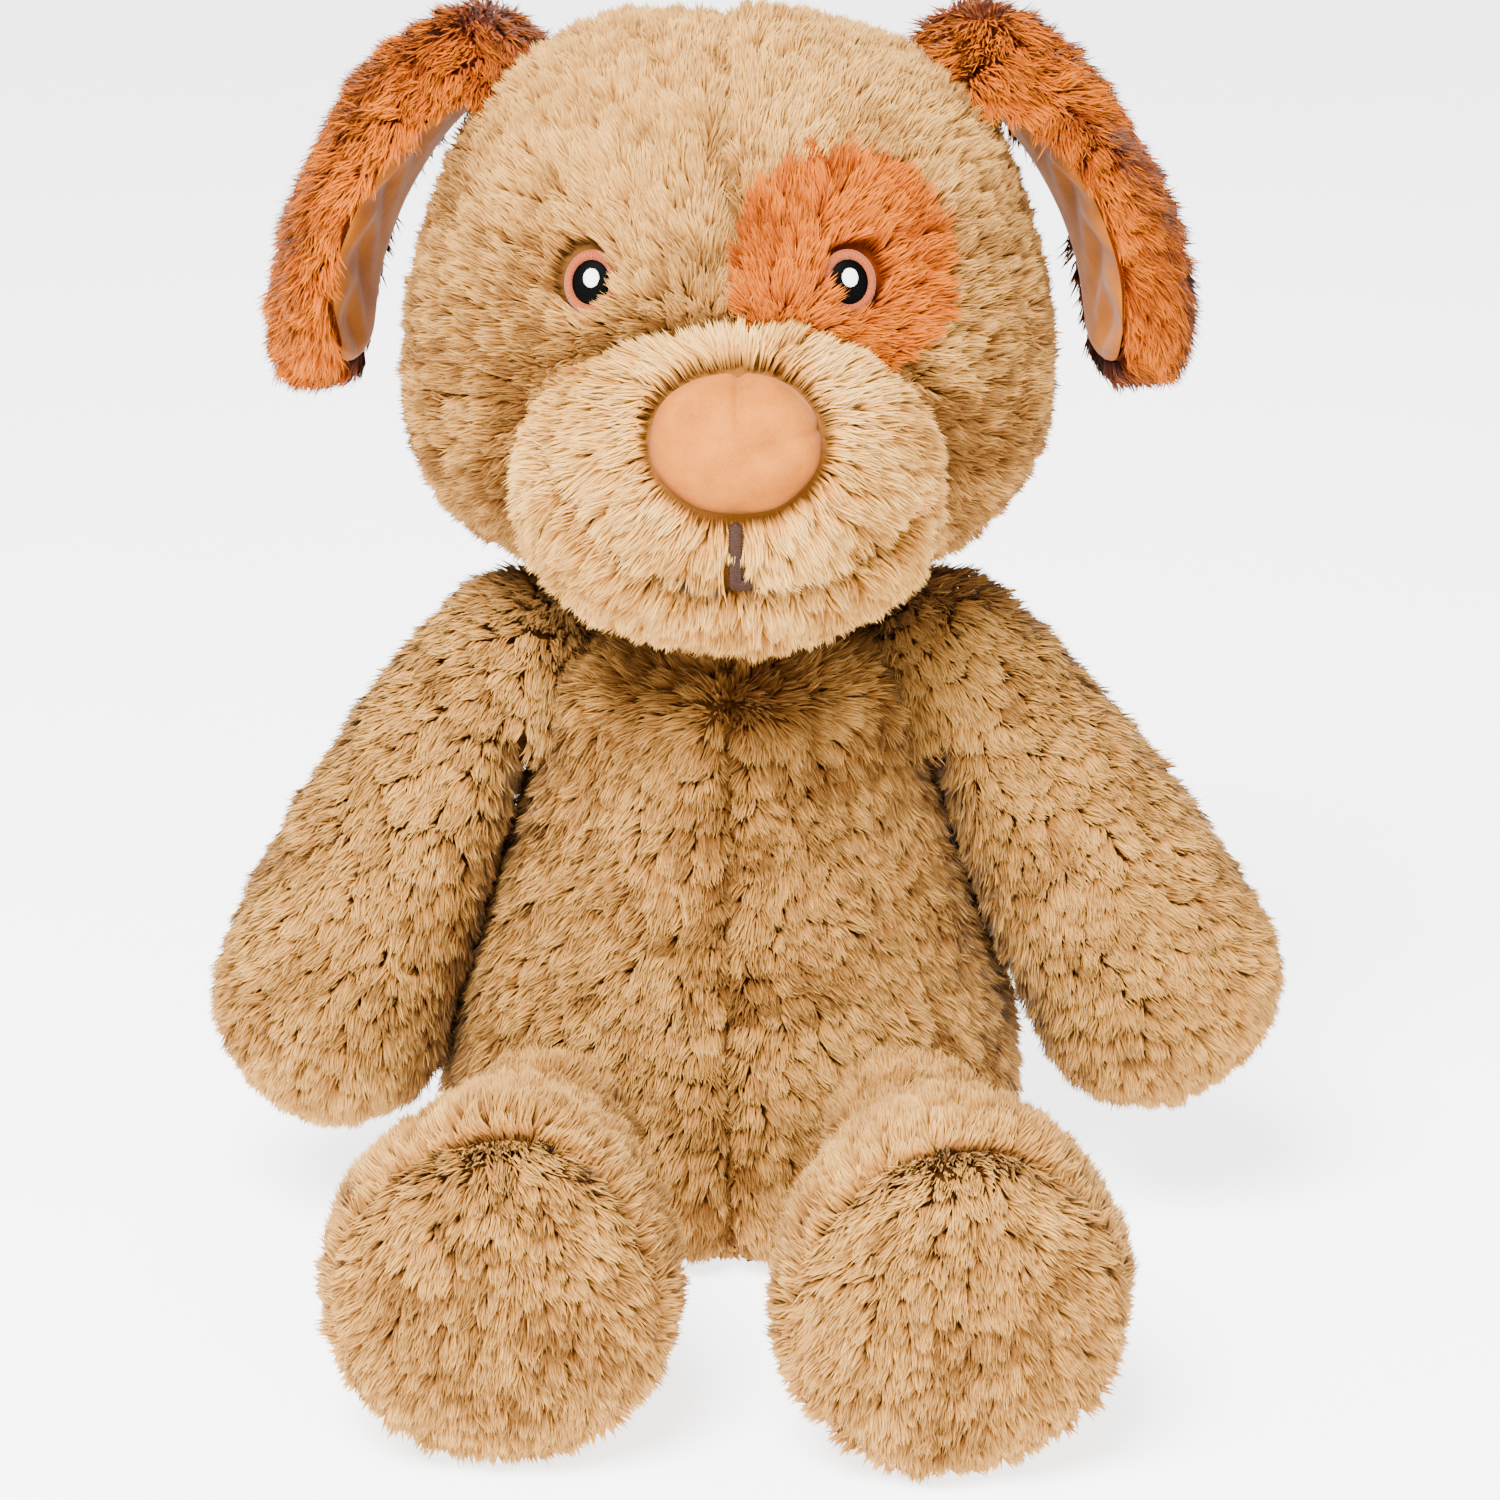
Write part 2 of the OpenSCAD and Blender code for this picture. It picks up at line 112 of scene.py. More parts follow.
# Knitted plush with a cut polyester pile: dull fibres, pale at their tips and darkened toward the backing,
# the darkening being painted shade down in the pile. The map runs from root to tip upward, and from the
# darkest tuft to the palest sideways.
def plushMaterial(name, rootShadeToTip, darkToPale, sheen=0.04):
    material, tree, shader = emptyMaterial(name, **{"Roughness": 0.9, "Specular IOR Level": 0.05,
                                                    "Sheen Weight": sheen, "Sheen Roughness": 0.45})
    uv = node(tree, "ShaderNodeUVMap", {"uv_map": "OFBake"})
    split = node(tree, "ShaderNodeSeparateXYZ", links={"Vector": uv.outputs["UV"]})
    along = ramp(tree, rootShadeToTip, split.outputs["Y"])
    across = ramp(tree, darkToPale, split.outputs["X"])
    blend = node(tree, "ShaderNodeMix", {"data_type": "RGBA", "blend_type": "MULTIPLY"})
    blend.inputs[0].default_value = 1.0
    tree.links.new(along, blend.inputs[6])
    tree.links.new(across, blend.inputs[7])
    tree.links.new(blend.outputs[2], shader.inputs["Base Color"])
    # A tuft is many fibres, so it is lit from the side its pile faces, whichever side of it is seen
    facing = node(tree, "ShaderNodeAttribute", {"attribute_name": "pileNormal"})
    turned = node(tree, "ShaderNodeVectorTransform",
                  {"vector_type": "NORMAL", "convert_from": "OBJECT", "convert_to": "WORLD"},
                  {"Vector": facing.outputs["Vector"]})
    tree.links.new(turned.outputs["Vector"], shader.inputs["Normal"])
    return material


tanPlush = plushMaterial("tanPlush",
                         ((0, "#40270f"), (0.3, "#734b1f"), (0.62, "#a87335"), (1, "#d7a65c")),
                         ((0, "#8c7c6c"), (0.45, "#dcd3c8"), (1, "#fffdf8")))
# The muzzle's plush is the same cloth in a paler dye, cream next to the nose
palePlush = plushMaterial("palePlush",
                          ((0, "#573815"), (0.3, "#8f5d26"), (0.62, "#c48840"), (1, "#e8bc70")),
                          ((0, "#a99274"), (0.4, "#e2d3ba"), (0.75, "#fbf5ea"), (1, "#ffffff")))
orangePlush = plushMaterial("orangePlush",
                            ((0, "#471700"), (0.3, "#762e00"), (0.62, "#a04a00"), (1, "#cc6e08")),
                            ((0, "#a58775"), (0.45, "#e9dccf"), (1, "#fffaf0")))


# Velboa: a very short dense pile, so it looks matt and even, with a soft sheen where it turns away
def velboaMaterial(name, colour, dark, pile=0.45):
    material, tree, shader = emptyMaterial(name, **{"Roughness": 0.85, "Specular IOR Level": 0.1,
                                                    "Sheen Weight": 0.06, "Sheen Roughness": 0.4})
    place = node(tree, "ShaderNodeTexCoord").outputs["Object"]
    fibres = node(tree, "ShaderNodeTexNoise", {"Scale": 1 / (pile * mm), "Detail": 3.0, "Roughness": 0.6},
                  {"Vector": place})
    rubs = node(tree, "ShaderNodeTexNoise", {"Scale": 1 / (9 * mm), "Detail": 2.0}, {"Vector": place})
    total = node(tree, "ShaderNodeMath", {"operation": "ADD"},
                 {0: fibres.outputs["Fac"], 1: rubs.outputs["Fac"]})
    half = node(tree, "ShaderNodeMath", {"operation": "MULTIPLY"}, {0: total.outputs[0]})
    half.inputs[1].default_value = 0.5
    tree.links.new(ramp(tree, ((0.34, dark), (0.62, colour)), half.outputs[0]), shader.inputs["Base Color"])
    bump = node(tree, "ShaderNodeBump", {"Strength": 0.35, "Distance": 0.35 * mm},
                {"Height": fibres.outputs["Fac"]})
    tree.links.new(bump.outputs["Normal"], shader.inputs["Normal"])
    return material


peachVelboa = velboaMaterial("peachVelboa", "#b5681a", "#95500c")


# Embroidery thread is twisted rayon, so its stitches are glossier than the plush round them
def threadMaterial(name, colour, dark, twist=0.32, sheen=0.15, gloss=0.12):
    material, tree, shader = emptyMaterial(name, **{"Roughness": 0.55, "Specular IOR Level": gloss,
                                                    "Sheen Weight": sheen})
    place = node(tree, "ShaderNodeTexCoord").outputs["Object"]
    strands = node(tree, "ShaderNodeTexNoise", {"Scale": 1 / (twist * mm), "Detail": 2.0}, {"Vector": place})
    tree.links.new(ramp(tree, ((0.3, dark), (0.65, colour)), strands.outputs["Fac"]),
                   shader.inputs["Base Color"])
    bump = node(tree, "ShaderNodeBump", {"Strength": 0.3, "Distance": 0.15 * mm},
                {"Height": strands.outputs["Fac"]})
    tree.links.new(bump.outputs["Normal"], shader.inputs["Normal"])
    return material


terracottaThread = threadMaterial("terracottaThread", "#96461c", "#6a2a0c")
blackThread = threadMaterial("blackThread", "#030303", "#010101", sheen=0.0, gloss=0.02)
whiteThread = threadMaterial("whiteThread", "#f6f6f4", "#d8d8d4")
brownThread = threadMaterial("brownThread", "#3a2318", "#1a0e08", sheen=0.0)
satinRibbon = threadMaterial("satinRibbon", "#f3f2ee", "#e2e0da", 0.25)


# Plain woven lining cloth: matt, with small soft shadows in its folds
def fibreMaterial(name, colour, dark, curl=2.2):
    material, tree, shader = emptyMaterial(name, **{"Roughness": 0.95, "Sheen Weight": 0.3})
    place = node(tree, "ShaderNodeTexCoord").outputs["Object"]
    curls = node(tree, "ShaderNodeTexNoise", {"Scale": 1 / (curl * mm), "Detail": 4.0, "Distortion": 1.5},
                 {"Vector": place})
    shades = ramp(tree, ((0.3, dark), (0.65, colour)), curls.outputs["Fac"])
    tree.links.new(shades, shader.inputs["Base Color"])
    bump = node(tree, "ShaderNodeBump", {"Strength": 0.6, "Distance": 1 * mm},
                {"Height": curls.outputs["Fac"]})
    tree.links.new(bump.outputs["Normal"], shader.inputs["Normal"])
    return material


pelletCloth = fibreMaterial("pelletCloth", "#98a2aa", "#7c868e", 0.8)

# An opal acrylic sheet lit a little from behind, as on a product table, so that it stays near white
paper, paperTree, paperShader = emptyMaterial("opalAcrylic", **{"Roughness": 0.9, "Specular IOR Level": 0.1,
                                                                "Emission Strength": 3.0})
paperGrain = node(paperTree, "ShaderNodeTexNoise", {"Scale": 60.0, "Detail": 2.0})
paperTree.links.new(ramp(paperTree, ((0.3, "#fafafa"), (0.7, "#fdfdfd")), paperGrain.outputs["Fac"]),
                    paperShader.inputs["Base Color"])
print("materials ready")


def unit(v):
    return v / np.maximum(np.linalg.norm(v, axis=-1, keepdims=True), 1e-12)


def mix(a, b, t):
    return a + (b - a) * t


def ease(t):
    t = np.clip(t, 0, 1)
    return t * t * (3 - 2 * t)


def bell(x, width):
    return np.exp(-(x / width) ** 2)


# Uneven swelling of a stuffed form, from about -1 to 1: the mean of six sine waves in seeded directions
def swell(p, size, seed):
    rng = np.random.default_rng(seed)
    way = unit(rng.normal(size=(6, 3))) * 2 * np.pi / size * rng.uniform(0.7, 1.4, (6, 1))
    return np.sin(p @ way.T + rng.uniform(0, 2 * np.pi, 6)).mean(-1) * 1.8


# Random numbers from 0 to 1 that belong to whole-numbered cells of space
def cellRandom(cell, salt):
    h = (cell[:, 0] * 73856093) ^ (cell[:, 1] * 19349663) ^ (cell[:, 2] * 83492791) ^ (salt * 40503)
    h = (h ^ (h >> 13)) * 1274126177
    h = h ^ (h >> 16)
    return (h & 0xFFFFFF) / 0x1000000


# Locks of pile: one jittered centre in each cell of space, and each point belongs to the nearest centre
def locks(p, size, seed):
    cell = np.floor(p / size).astype(np.int64)
    nearest, centre, owner = np.full(len(p), np.inf), np.zeros_like(p), np.zeros_like(cell)
    for offset in np.ndindex(3, 3, 3):
        other = cell + np.array(offset) - 1
        spot = (other + np.stack([cellRandom(other, seed + k) for k in range(3)], 1)) * size
        far = ((spot - p) ** 2).sum(1)
        closer = far < nearest
        nearest[closer], centre[closer], owner[closer] = far[closer], spot[closer], other[closer]
    return centre, [cellRandom(owner, seed + k) for k in (11, 12, 13, 14)]


# Place, outward normal and area of a surface of two parameters, each from 0 to 1, by small differences
def surfaceFrame(surf, u, v, core, step=1e-3):
    uc, vc = np.clip(u, 0.0025, 0.9975), np.clip(v, 0.0025, 0.9975)
    du = (surf(uc + step, vc) - surf(uc - step, vc)) / (2 * step)
    dv = (surf(uc, vc + step) - surf(uc, vc - step)) / (2 * step)
    cross = np.cross(du, dv)
    place = surf(u, v)
    out = np.sign((cross * (place - core)).sum()) or 1.0
    return place, unit(cross) * out, np.linalg.norm(cross, axis=1), out


# Puts arrays of corners, faces, map places and normals into one mesh object
def meshObject(name, points, quads, triangles, uvs, normals, material):
    mesh = bpy.data.meshes.new(name)
    loops = np.concatenate([quads.ravel(), triangles.ravel()]).astype(np.int32)
    starts = np.concatenate([np.arange(len(quads)) * 4, len(quads) * 4 + np.arange(len(triangles)) * 3])
    mesh.vertices.add(len(points))
    mesh.vertices.foreach_set("co", points.astype(np.float32).ravel())
    mesh.loops.add(len(loops))
    mesh.loops.foreach_set("vertex_index", loops)
    mesh.polygons.add(len(starts))
    mesh.polygons.foreach_set("loop_start", starts.astype(np.int32))
    mesh.update(calc_edges=True)
    if uvs is not None:
        layer = mesh.uv_layers.new(name="OFBake")
        layer.uv.foreach_set("vector", uvs.astype(np.float32).ravel())
    mesh.shade_smooth()
    if normals is not None:
        for label in ("custom_normal", "pileNormal"):
            free = mesh.attributes.new(label, "FLOAT_VECTOR", "POINT")
            free.data.foreach_set("vector", normals.astype(np.float32).ravel())
    made = bpy.data.objects.new(name, mesh)
    bpy.context.scene.collection.objects.link(made)
    mesh.materials.append(material)
    return made


def gridFaces(nu, nv, flip):
    i, j = np.meshgrid(np.arange(nu - 1), np.arange(nv - 1), indexing="ij")
    a = (i * nv + j).ravel()
    quads = np.stack([a, a + nv, a + nv + 1, a + 1], 1)
    return quads[:, ::-1] if flip else quads


pile = {   # what all the plush shares; each panel may say otherwise
    "perMm2": 3.8, "hair": 8.6, "wide": 0.66, "lean": 46, "leanSpread": 16, "turn": 28, "lock": 4.6,
    "pull": 0.5, "backing": 2.4, "seed": 1, "softNormal": 0.6,
}


frontPile, backPile = {}, {"perMm2": 1.75, "wide": 1.0}   # the back is as furry, with fewer and wider tufts


# A panel of plush: its backing is the surface itself on a grid, and each tuft of its pile is a kite of
# two triangles that leaves the backing steeply, bends toward the comb direction and leans to its lock.
def plushPanel(name, surf, core, comb, material, body, nodes, slot, toneAndPaintedLight=None, bare=None, hairAt=None,
               thickAt=None, **own):
    s = {**pile, **own}
    rng = np.random.default_rng(s["seed"])
    cells = 220
    cu, cv = (x.ravel() for x in np.meshgrid(*(2 * [(np.arange(cells) + 0.5) / cells]), indexing="ij"))
    at, _, area, _ = surfaceFrame(surf, cu, cv, core)
    weight = area * (thickAt(at) if thickAt else 1.0)
    count = int(weight.sum() / cells ** 2 / mm ** 2 * s["perMm2"])
    pick = rng.choice(cells * cells, count, p=weight / weight.sum())
    u = (pick // cells + rng.random(count)) / cells
    v = (pick % cells + rng.random(count)) / cells
    root, out, _, _ = surfaceFrame(surf, u, v, core)
    keep = np.ones(count, bool) if bare is None else ~bare(root)
    root, out, u, v = root[keep], out[keep], u[keep], v[keep]
    count = len(root)
    flow = comb(root)
    flow = unit(flow - (flow * out).sum(1, keepdims=True) * out)
    centre, lot = locks(root, s["lock"] * mm, s["seed"] * 31)
    _, wide = locks(root, s["lock"] * 3.3 * mm, s["seed"] * 37)
    angle = np.radians(s["turn"]) * (1.1 * (lot[0] - 0.5) + 1.1 * (wide[0] - 0.5)
                                     + rng.normal(0, 0.28, count))
    flow = flow * np.cos(angle)[:, None] + np.cross(out, flow) * np.sin(angle)[:, None]
    lean = np.radians(s["lean"] + s["leanSpread"] * (1.3 * (lot[1] - 0.5) + 0.9 * (wide[1] - 0.5)
                                                     + rng.normal(0, 0.4, count)))[:, None]
    length = s["hair"] * mm * (0.82 + 0.22 * lot[2] + 0.3 * (rng.random(count) - 0.5))
    length = (length * (hairAt(root) if hairAt else 1.0))[:, None]
    lower = unit(out * np.cos(lean * 0.5) + flow * np.sin(lean * 0.5))
    upper = unit(out * np.cos(lean * 1.35) + flow * np.sin(lean * 1.35))
    middle = root + lower * length * 0.55
    tip = middle + upper * length * 0.45
    heart = centre + (tip - root)
    heart = heart - ((heart - tip) * out).sum(1, keepdims=True) * out
    tip = tip + (heart - tip) * s["pull"]
    middle = middle + (heart - tip) * s["pull"] * 0.35
    tip[:, 2] = np.maximum(tip[:, 2], 0.4 * mm)
    middle[:, 2] = np.maximum(middle[:, 2], 0.5 * mm)
    along = unit(tip - root)
    across = unit(np.cross(out, along))
    roll = np.radians(rng.normal(0, 30, count))[:, None]
    across = unit(across * np.cos(roll) + np.cross(along, across) * np.sin(roll))
    face = np.cross(across, along)
    across = across * np.where((face * out).sum(1) < 0, -1.0, 1.0)[:, None]
    face = np.cross(across, along)
    half = s["wide"] * mm / 2 * rng.uniform(0.75, 1.25, (count, 1))
    corners = np.stack([root, middle - across * half, middle + across * half, tip], 1)
    lit = unit(out * s["softNormal"] + face * (1 - s["softNormal"]))
    # Each tuft's darkness: random between locks and tufts, plus the panel's tone, which holds painted light
    # and shade.
    shade = 0.46 + 0.42 * (lot[3] - 0.5) + 0.42 * (wide[3] - 0.5) + rng.normal(0, 0.11, count)
    shade = np.clip(shade + (toneAndPaintedLight(root) if toneAndPaintedLight else 0.0), 0.01, 0.985)
    nu, nv = (max(int(round(x)), 4) for x in gridSteps(surf, s["backing"]))
    gu, gv = (x.ravel() for x in np.meshgrid(np.linspace(0, 1, nu), np.linspace(0, 1, nv), indexing="ij"))
    skin, skinOut, _, turned = surfaceFrame(surf, gu, gv, core)
    quads = gridFaces(nu, nv, turned < 0)
    first = len(skin) + np.arange(count)[:, None] * 4
    blades = np.stack([first + np.array([0, 2, 1]), first + np.array([1, 2, 3])], 1).reshape(-1, 3)
    # The backing under the pile takes the ramp's dark root colour: painted shade.
    skinUv = np.tile([[0.40, 0.20], [0.44, 0.20], [0.44, 0.24], [0.40, 0.24]], (len(quads), 1, 1))
    low, high = shade - 0.008, shade + 0.008
    bladeUv = np.stack([np.stack(pair, 1) for pair in (
        (shade, 0 * shade + 0.03), (high, 0 * shade + 0.55), (low, 0 * shade + 0.55),
        (low, 0 * shade + 0.55), (high, 0 * shade + 0.55), (shade, 0 * shade + 0.99))], 1)
    uvs = np.concatenate([skinUv.reshape(-1, 2), bladeUv.reshape(-1, 2)])
    points = np.concatenate([skin, corners.reshape(-1, 3)])
    normals = np.concatenate([skinOut, np.repeat(lit, 4, axis=0)])
    made = meshObject(name, points, quads, blades, uvs, normals, material)
    finish(made, body, nodes, slot)
    print(name, count, "tufts,", len(quads) * 2 + count * 2, "triangles")
    return made


# How many grid lines keep the backing's faces near the size asked for
def gridSteps(surf, size):
    t = np.linspace(0.002, 0.998, 60)
    steps = []
    for line in (lambda a, b: surf(a, b), lambda a, b: surf(b, a)):
        longest = max(np.linalg.norm(np.diff(line(t, np.full(60, c)), axis=0), axis=1).sum()
                      for c in (0.15, 0.5, 0.85))
        steps.append(longest / (size * mm))
    return steps


def finish(made, body, nodes, slot):
    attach(made, body)
    if nodes:
        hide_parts(*nodes)


# A profile that carries on by its own length: gives its two coordinates for a share of the way, 0 to 1
def profile(points):
    points = np.array(points, float)
    run = np.concatenate([[0], np.cumsum(np.linalg.norm(np.diff(points, axis=0), axis=1))])
    run /= run[-1]
    return lambda t: (np.interp(t, run, points[:, 0]), np.interp(t, run, points[:, 1]))


# The torso: a bell shape with a rounded foot and a rounded crown
torso = {"hip": 82, "chest": 52, "hipHeight": 38, "chestHeight": 150, "top": 172, "seat": 56,
         "inset": 4.8, "centreSeam": 3.6, "seamWidth": 4.5, "seatSeam": 10, "lumps": 1.6}


def torsoOutline(inset):
    t = torso
    foot = np.radians(np.linspace(-90, 0, 14))
    side = np.linspace(0, 1, 30)[1:]
    crown = np.radians(np.linspace(0, 90, 14))[1:]
    r = np.concatenate([[0], mix(t["seat"] - inset, t["hip"] - inset, np.cos(foot)),
                        mix(t["hip"], t["chest"], (side + (1 - np.cos(np.pi * side)) / 2) / 2) - inset,
                        (t["chest"] - inset) * np.cos(crown)])
    low = min(inset, 1.2)
    z = np.concatenate([[low], low + (t["hipHeight"] - low) * (1 + np.sin(foot)),
                        mix(t["hipHeight"], t["chestHeight"], side),
                        mix(t["chestHeight"], t["top"] - inset, np.sin(crown))])
    return np.stack([r, z], 1)


torsoLine = torsoOutline(torso["inset"])
torsoSide = profile(torsoLine[torsoLine[:, 1] >= torso["seatSeam"]])
torsoSeat = profile(torsoLine[torsoLine[:, 1] <= torso["seatSeam"] + 1.5])


# Round the body from angle a to b, up the side outline, with a sewn crease down the middle of the belly
# and back, and slow uneven lumps of stuffing
def torsoSurface(outline, a, b):
    def surf(u, v):
        r, z = outline(v)
        angle = mix(a, b, u)
        p = np.stack([r * np.sin(angle), -r * np.cos(angle), z], 1) * mm
        dent = torso["centreSeam"] * bell(p[:, 0] / mm, torso["seamWidth"]) * ease(r / 40)
        push = torso["lumps"] * swell(p, 0.05, 5) * ease(z / 30) - dent
        return p + np.stack([np.sin(angle), -np.cos(angle), 0 * angle], 1) * push[:, None] * mm
    return surf


shoulderAt = {s: np.array([k * 58, 0, 156]) * mm for s, k in sides.items()}
hipAt = {s: np.array([k * 49, -78, 47]) * mm for s, k in sides.items()}
neckAt = np.array([0, 0, 175]) * mm


def inBall(p, at, r):
    return ((p - at) ** 2).sum(1) < (r * mm) ** 2


def underLimbs(p):
    hidden = inBall(p, neckAt, 26)
    for s in sides:
        hidden |= inBall(p, shoulderAt[s], 19) | inBall(p, hipAt[s], 25)
    return hidden


def combDown(p):
    x = p[:, 0] / mm
    top = ease((p[:, 2] / mm - 140) / 25)   # round the neck the pile lies sideways and up
    return np.stack([(0.35 + 0.9 * top) * np.tanh(x / 12), 0 * x - 0.2 + 0.6 * top, top * 1.3 - 1.0], 1)


def combBack(p):
    x = p[:, 0] / mm
    return np.stack([0.25 * np.tanh(x / 12), 0 * x + 0.1, 0 * x - 1.0], 1)


def bellyPaintedShade(p):   # painted shade: darker in the seam, under the chin, and a little darker low on the belly
    x, z = p[:, 0] / mm, p[:, 2] / mm
    return -0.10 - 0.12 * ease((z - 120) / 30) - 0.5 * bell(x, 3.2) - 0.10 * ease((60 - z) / 60)


torsoCore = np.array([0, 0, 85]) * mm
for s, k in sides.items():
    plushPanel(f"belly_{s}_plush", torsoSurface(torsoSide, 0, k * np.pi / 2), torsoCore, combDown, tanPlush,
               "torso", [f"belly_panel_{s}"] + ["torso_stuffing"] * (k > 0), "tan_plush",
               toneAndPaintedLight=bellyPaintedShade, bare=underLimbs, seed=10 + k,
               hairAt=lambda p: 1 - 0.6 * bell(p[:, 0] / mm, 3.5))
    plushPanel(f"back_{s}_plush", torsoSurface(torsoSide, k * np.pi / 2, k * np.pi), torsoCore, combBack,
               tanPlush, "torso", [f"back_panel_{s}"], "tan_plush", seed=14 + k,
               hairAt=lambda p: 1 - 0.35 * bell(p[:, 0] / mm, 4), **backPile)
plushPanel("seat_plush", torsoSurface(torsoSeat, 0, 2 * np.pi), torsoCore, combBack, tanPlush, "torso",
           ["seat_panel"], "tan_plush", seed=18, perMm2=0.6, wide=1.2, hair=6, lean=75)
print("torso ready")


def neckSurface(u, v):
    rise = mix(-62, 62, v) * np.pi / 180
    p = np.stack([29 * np.cos(rise) * np.sin(2 * np.pi * u), 29 * np.cos(rise) * -np.cos(2 * np.pi * u),
                  29 * np.sin(rise)], 1) * mm
    return p + neckAt


# The neck's pile is darkened all over as painted shade under the head.
plushPanel("neck_plush", neckSurface, neckAt, combBack, tanPlush, "neck", ["neck_stuffing"], "tan_plush",
           seed=21, perMm2=1.8, wide=1.1, toneAndPaintedLight=lambda p: -0.2)


# A limb is a round thickness carried along a line from its joint: the joint's ball, the shaft, the end
def limbSurface(at, way, front, line, a, b, shape=None):
    side = np.cross(way, front)

    def surf(u, v):
        r, along = line(v)
        angle = mix(a, b, u)
        p = np.outer(along, way) + np.outer(r * np.cos(angle), front) + np.outer(r * np.sin(angle), side)
        p = p * mm + at
        return shape(p, along, angle) if shape else p
    return surf


# The arm's paler value brightens the arms' whole pile: painted light.
arm = {"length": 107, "upper": 28, "paw": 35, "ball": 27.5, "inset": 4.8, "bow": 3.5, "forward": 12,
       "spread": {"left": 35, "right": 29}, "clearFrom": 51.4, "clearSlope": 0.2806, "lumps": 1.5,
       "paler": 0.12}


def armLine(inset):
    a = arm
    ball = np.radians(np.linspace(-90, -20, 8))
    t = np.linspace(0.12, 1, 24)
    end = np.radians(np.linspace(0, 90, 14))[1:]
    r = np.concatenate([a["ball"] * np.cos(ball), mix(a["upper"], a["paw"], (1 - np.cos(np.pi * t)) / 2),
                        a["paw"] * np.cos(end)]) - inset
    s = np.concatenate([a["ball"] * np.sin(ball) + inset, a["length"] * t,
                        a["length"] + (a["paw"] - inset) * np.sin(end)])
    r[0], r[-1] = 0, 0
    return np.stack([np.maximum(r, 0), s], 1)


for s, k in sides.items():
    spread, forward = np.radians(arm["spread"][s]), np.radians(arm["forward"])
    way = np.array([k * np.sin(spread) * np.cos(forward), -np.sin(forward),
                    -np.cos(spread) * np.cos(forward)])
    front = unit(np.array([0, -1.0, 0]) - way * -way[1])

    def armShape(p, along, angle, k=k, s=s, way=way, front=front):
        outward = np.cross(way, front) * np.sign(np.cross(way, front)[0] * k)
        p = p + np.outer(arm["bow"] * np.sin(np.pi * np.clip(along / arm["length"], 0, 1)), outward) * mm
        push = arm["lumps"] * swell(p, 0.045, 8 + k) * ease(along / 25)
        p = p + unit(p - shoulderAt[s]) * push[:, None] * mm
        reach = np.hypot(p[:, 1], p[:, 2] - shoulderAt[s][2]) / mm
        least = arm["clearFrom"] + arm["inset"] * 0.75 + arm["clearSlope"] * reach
        x = p[:, 0] * k / mm
        gapTo = np.where(reach > arm["ball"], least - x, -50)
        p[:, 0] = k * mm * (x + 2.5 * np.log1p(np.exp(np.clip(gapTo / 2.5, -30, 30))))
        return p

    def combArm(p, way=way, s=s):
        paw = ease(((p - shoulderAt[s]) @ way / mm - 95) / 35)[:, None]
        return way + paw * np.array([0, 0.9, -0.5])

    line = profile(armLine(arm["inset"]))
    core = shoulderAt[s] + way * 60 * mm
    for panel, (a, b) in {"front": (-np.pi / 2, np.pi / 2), "back": (np.pi / 2, 3 * np.pi / 2)}.items():
        plushPanel(f"{s}_arm_{panel}_plush", limbSurface(shoulderAt[s], way, front, line, a, b, armShape),
                   core, combArm, tanPlush, f"{s}_arm",
                   [f"{s}_arm_{panel}_panel"] + [f"{s}_arm_stuffing"] * (panel == "front"), "tan_plush",
                   toneAndPaintedLight=lambda p: 0 * p[:, 0] + arm["paler"], seed=30 + k * 2 + (panel == "back"),
                   **(frontPile if panel == "front" else backPile))
print("arms ready")

leg = {"length": {"left": 135, "right": 128}, "thigh": 25, "foot": 47, "ball": 28, "drop": 6, "inset": 5.5,
       "round": 18.8, "splay": {"left": 3.45, "right": 3.68}, "soleSeam": 40.5, "seamDip": 3.0, "lumps": 1.3,
       "narrow": 0.94, "topNarrow": 0.07}


def legLine(length, inset):
    g = leg
    shaft = length - g["round"]
    ball = np.radians(np.linspace(-90, -25, 8))
    t = np.linspace(0.02, 1, 26)
    end = np.radians(np.linspace(0, 90, 22))[1:]
    r = np.concatenate([g["ball"] * np.cos(ball),
                        mix(g["thigh"], g["foot"], (1 - np.cos(np.pi * np.clip((t - 0.3) / 0.62, 0, 1))) / 2),
                        g["foot"] * np.cos(end) ** 0.7]) - inset
    s = np.concatenate([g["ball"] * np.sin(ball) + inset, shaft * t,
                        shaft + (g["round"] - inset) * np.sin(end)])
    r[0], r[-1] = 0, 0
    return np.stack([np.maximum(r, 0), s], 1)


